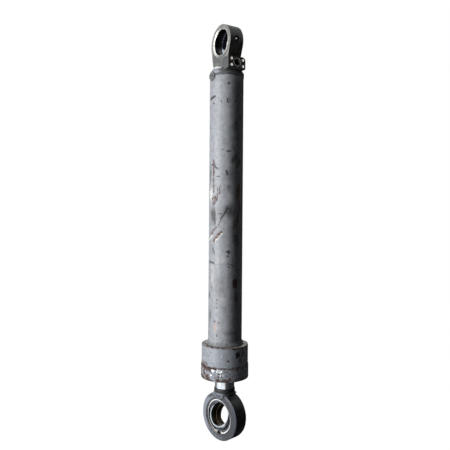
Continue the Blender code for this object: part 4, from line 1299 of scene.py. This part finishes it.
def build_bearing():
    where = rod_eye_frame()
    along_bore = where @ about((0, 1, 0))
    reach = math.asin(22.4 / 53.2)
    hollow = [(53.2 * math.cos(a), 53.2 * math.sin(a)) for a in (reach * (2 * i / 28 - 1) for i in range(29))]
    outer = lathe(
        "bearing_outer",
        [(58.6, 22.4), (59.9, 21.1), (59.9, -21.1), (58.6, -22.4)] + hollow,
        along_bore,
        (RACE,),
        192,
    )
    place(outer, "rod", "bearing_outer_ring", slot="bearing_steel")
    tilt = where @ Matrix.Rotation(TILT, 4, "X") @ about((0, 1, 0))
    reach = math.asin(27.4 / 52.4)
    ball = [(52.4 * math.cos(a), 52.4 * math.sin(a)) for a in (reach * (2 * i / 40 - 1) for i in range(41))]
    inner = lathe(
        "bearing_ball",
        [(40.9, 27.4), (40.2, 26.7), (40.2, 2.6), (41.8, 1.8), (41.8, -1.8), (40.2, -2.6), (40.2, -26.7), (40.9, -27.4)] + ball,
        tilt,
        (BALL, BALL_BORE),
        192,
    )
    unturn = tilt.inverted()

    def rule(c, n):
        p = unturn @ c
        return 1 if math.hypot(p.x, p.y) < 42.2 and abs(p.z) < 26.6 else 0

    mark_faces(inner, rule)
    place(inner, "ball", "bearing_inner_ring", slot="bearing_steel")
    outline = (
        arc(0, 0, 61.5, -81, 261, 160)
        + arc(0, 0, 53.0, 261, 256.5, 4)
        + [(53.9 * math.cos(math.radians(254.5)), 53.9 * math.sin(math.radians(254.5)))]
        + arc(0, 0, 55.6, 251, -71, 150)
        + [(53.9 * math.cos(math.radians(-74.5)), 53.9 * math.sin(math.radians(-74.5)))]
        + arc(0, 0, 53.0, -76.5, -81, 4)
    )
    draw = where @ along_y_frame()
    for name, node, low, high in (
        ("circlip_front_ring", "circlip_front", 22.95, 26.35),
        ("circlip_rear_ring", "circlip_rear", -26.35, -22.95),
    ):
        clip = prism(name, outline, low, high, draw)
        eyes = [
            cylinder(f"ear_{k}", 1.3, low - 5, high + 5, draw @ Matrix.Translation((55.6 * math.cos(math.radians(a)), 55.6 * math.sin(math.radians(a)), 0)), 20)
            for k, a in enumerate((-78.6, 258.6))
        ]
        for ear in eyes:
            boolean(clip, [ear], "DIFFERENCE")
        dress(clip, CLIP, CLIP_EAR_GLINT)
        undo = draw.inverted()

        def at_ear(c, n):
            q = undo @ c
            angle = math.degrees(math.atan2(q.y, q.x))
            return 1 if -106 < angle < -74 else 0

        mark_faces(clip, at_ear)
        shade(clip, 30)
        place(clip, "rod", node, slot="bearing_steel")


def keep_cad_nodes():
    looks = {
        "stage_stop_ring": STEEL, "stage_snap_ring": STEEL, "stage_gland": STEEL,
        "rod_stop_ring": STEEL, "rod_snap_ring": STEEL,
        "stage_wear_band": PLASTIC, "rod_wear_band": PLASTIC, "stage_guide_ring": PLASTIC,
        "gland_guide_ring_upper": PLASTIC, "gland_guide_ring_lower": PLASTIC,
        "gland_seal": RUBBER, "gland_wiper": RUBBER, "gland_o_ring": RUBBER,
        "stage_seal": RUBBER, "stage_wiper": RUBBER, "stage_o_ring": RUBBER,
    }
    for node, mat in looks.items():
        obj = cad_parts[node]
        obj.data.materials.clear()
        obj.data.materials.append(mat)


# ================================================================== stage, light and camera
def panels(m, x, y):
    """What polished metal sees round it: a white wall to the left of the camera, dimmer behind, dark on the right."""
    leftwards = x * -RIGHT.x + y * -RIGHT.y
    backwards = x * BACK.x + y * BACK.y
    turn = m.op("ARCTAN2", leftwards, backwards) * (180.0 / math.pi)
    wall = m.op("MULTIPLY", m.ramp(turn, -9.0, -5.0), m.ramp(turn, 112.0, 92.0)) * 1.15
    behind = m.op("MULTIPLY", m.ramp(turn, 92.0, 112.0), m.ramp(turn, 175.0, 150.0)) * 0.26
    dim = 0.03 + m.op("MULTIPLY", m.ramp(turn, -60.0, -14.0), m.ramp(turn, -5.0, -9.0)) * 0.08
    return wall + behind + dim


def build_studio():
    mat = bpy.data.materials.new("pale_floor")
    mat.use_nodes = True
    tree = mat.node_tree
    tree.nodes.clear()
    out = tree.nodes.new("ShaderNodeOutputMaterial")
    diffuse = tree.nodes.new("ShaderNodeBsdfDiffuse")
    diffuse.inputs["Color"].default_value = (0.55, 0.55, 0.55, 1)
    glow = tree.nodes.new("ShaderNodeEmission")
    glow.inputs["Color"].default_value = (1, 1, 1, 1)
    m = Maths(mat)
    rays = tree.nodes.new("ShaderNodeLightPath")
    white = panels(m, m.x, m.y) * m.Value(m, rays.outputs["Is Glossy Ray"])
    m.put(m.high(m.Value(m, rays.outputs["Is Camera Ray"]), white), glow.inputs["Strength"])
    sum_of = tree.nodes.new("ShaderNodeAddShader")
    tree.links.new(diffuse.outputs[0], sum_of.inputs[0])
    tree.links.new(glow.outputs[0], sum_of.inputs[1])
    both = tree.nodes.new("ShaderNodeMixShader")
    tree.links.new(rays.outputs["Is Glossy Ray"], both.inputs[0])
    tree.links.new(sum_of.outputs[0], both.inputs[1])
    tree.links.new(glow.outputs[0], both.inputs[2])
    tree.links.new(both.outputs[0], out.inputs[0])
    mesh = bpy.data.meshes.new("floor")
    bm = bmesh.new()
    bmesh.ops.create_grid(bm, x_segments=2, y_segments=2, size=14.0)
    bmesh.ops.translate(bm, verts=bm.verts, vec=(0, 0, -3.42))
    bm.to_mesh(mesh)
    bm.free()
    floor = bpy.data.objects.new("floor", mesh)
    bpy.context.scene.collection.objects.link(floor)
    mesh.materials.append(mat)

    world = bpy.data.worlds.new("studio")
    bpy.context.scene.world = world
    world.use_nodes = True
    tree = world.node_tree
    tree.nodes.clear()
    m = Maths(world)
    out = tree.nodes.new("ShaderNodeOutputWorld")
    rays = tree.nodes.new("ShaderNodeLightPath")
    way = tree.nodes.new("ShaderNodeTexCoord").outputs["Generated"]
    split = tree.nodes.new("ShaderNodeSeparateXYZ")
    tree.links.new(way, split.inputs[0])
    x, y, z = (m.Value(m, socket) for socket in split.outputs)
    strength = panels(m, x, y) + m.ramp(z, 0.42, 0.7) * 0.85
    layers = []
    for colour, power in (((1, 1, 1), 1.0), ((0.95, 0.97, 1.0), AMBIENT), ((0.93, 0.98, 1.0), strength)):
        node = tree.nodes.new("ShaderNodeBackground")
        node.inputs["Color"].default_value = (*colour, 1)
        m.put(power, node.inputs["Strength"])
        layers.append(node.outputs[0])
    shiny = tree.nodes.new("ShaderNodeMixShader")
    tree.links.new(rays.outputs["Is Glossy Ray"], shiny.inputs[0])
    tree.links.new(layers[1], shiny.inputs[1])
    tree.links.new(layers[2], shiny.inputs[2])
    both = tree.nodes.new("ShaderNodeMixShader")
    tree.links.new(rays.outputs["Is Camera Ray"], both.inputs[0])
    tree.links.new(shiny.outputs[0], both.inputs[1])
    tree.links.new(layers[0], both.inputs[2])
    tree.links.new(both.outputs[0], out.inputs[0])


AMBIENT = 0.012


def area_light(name, side_deg, height, distance, size, power, colour=(1, 1, 1), aim=(0, 0, -0.66)):
    """side_deg counts from the camera's direction, positive towards the picture's left."""
    a = math.radians(side_deg)
    at = (BACK * math.cos(a) - RIGHT * math.sin(a)) * distance + Vector((0, 0, height))
    data = bpy.data.lights.new(name, "AREA")
    data.shape = "RECTANGLE"
    data.size, data.size_y = size
    data.energy = power
    data.color = colour
    light = bpy.data.objects.new(name, data)
    bpy.context.scene.collection.objects.link(light)
    light.location = at
    light.rotation_euler = (Vector(aim) - at).to_track_quat("-Z", "Y").to_euler()
    return light


def build_lights():
    area_light("key", 61, -0.45, 2.6, (1.5, 3.2), 97, (0.985, 0.99, 1.0))
    area_light("behind", 180, -0.3, 3.2, (1.6, 2.6), 26, (0.98, 0.99, 1.0))
    area_light("far_side", -118, -0.3, 3.4, (0.8, 2.6), 2.0, (1.0, 0.97, 0.93))


def build_camera():
    data = bpy.data.cameras.new("camera")
    data.sensor_width = 36.0
    data.sensor_fit = "HORIZONTAL"
    data.lens = 36.0 * FOCAL_PX / 450.0
    data.shift_y = (HORIZON - 225.0) / 450.0
    data.clip_start, data.clip_end = 0.05, 60.0
    cam = bpy.data.objects.new("camera", data)
    bpy.context.scene.collection.objects.link(cam)
    cam.matrix_world = Matrix.Translation(STAND) @ VIEW.to_4x4()
    bpy.context.scene.camera = cam
    scene = bpy.context.scene
    scene.view_settings.view_transform = "Standard"
    scene.view_settings.look = "None"


def main():
    build_base_eye()
    build_base_trim()
    build_bleed()
    build_barrel()
    build_gland()
    build_rods()
    build_rod_eye()
    build_bearing()
    keep_cad_nodes()
    build_studio()
    build_lights()
    build_camera()
    bpy.context.view_layer.update()


main()
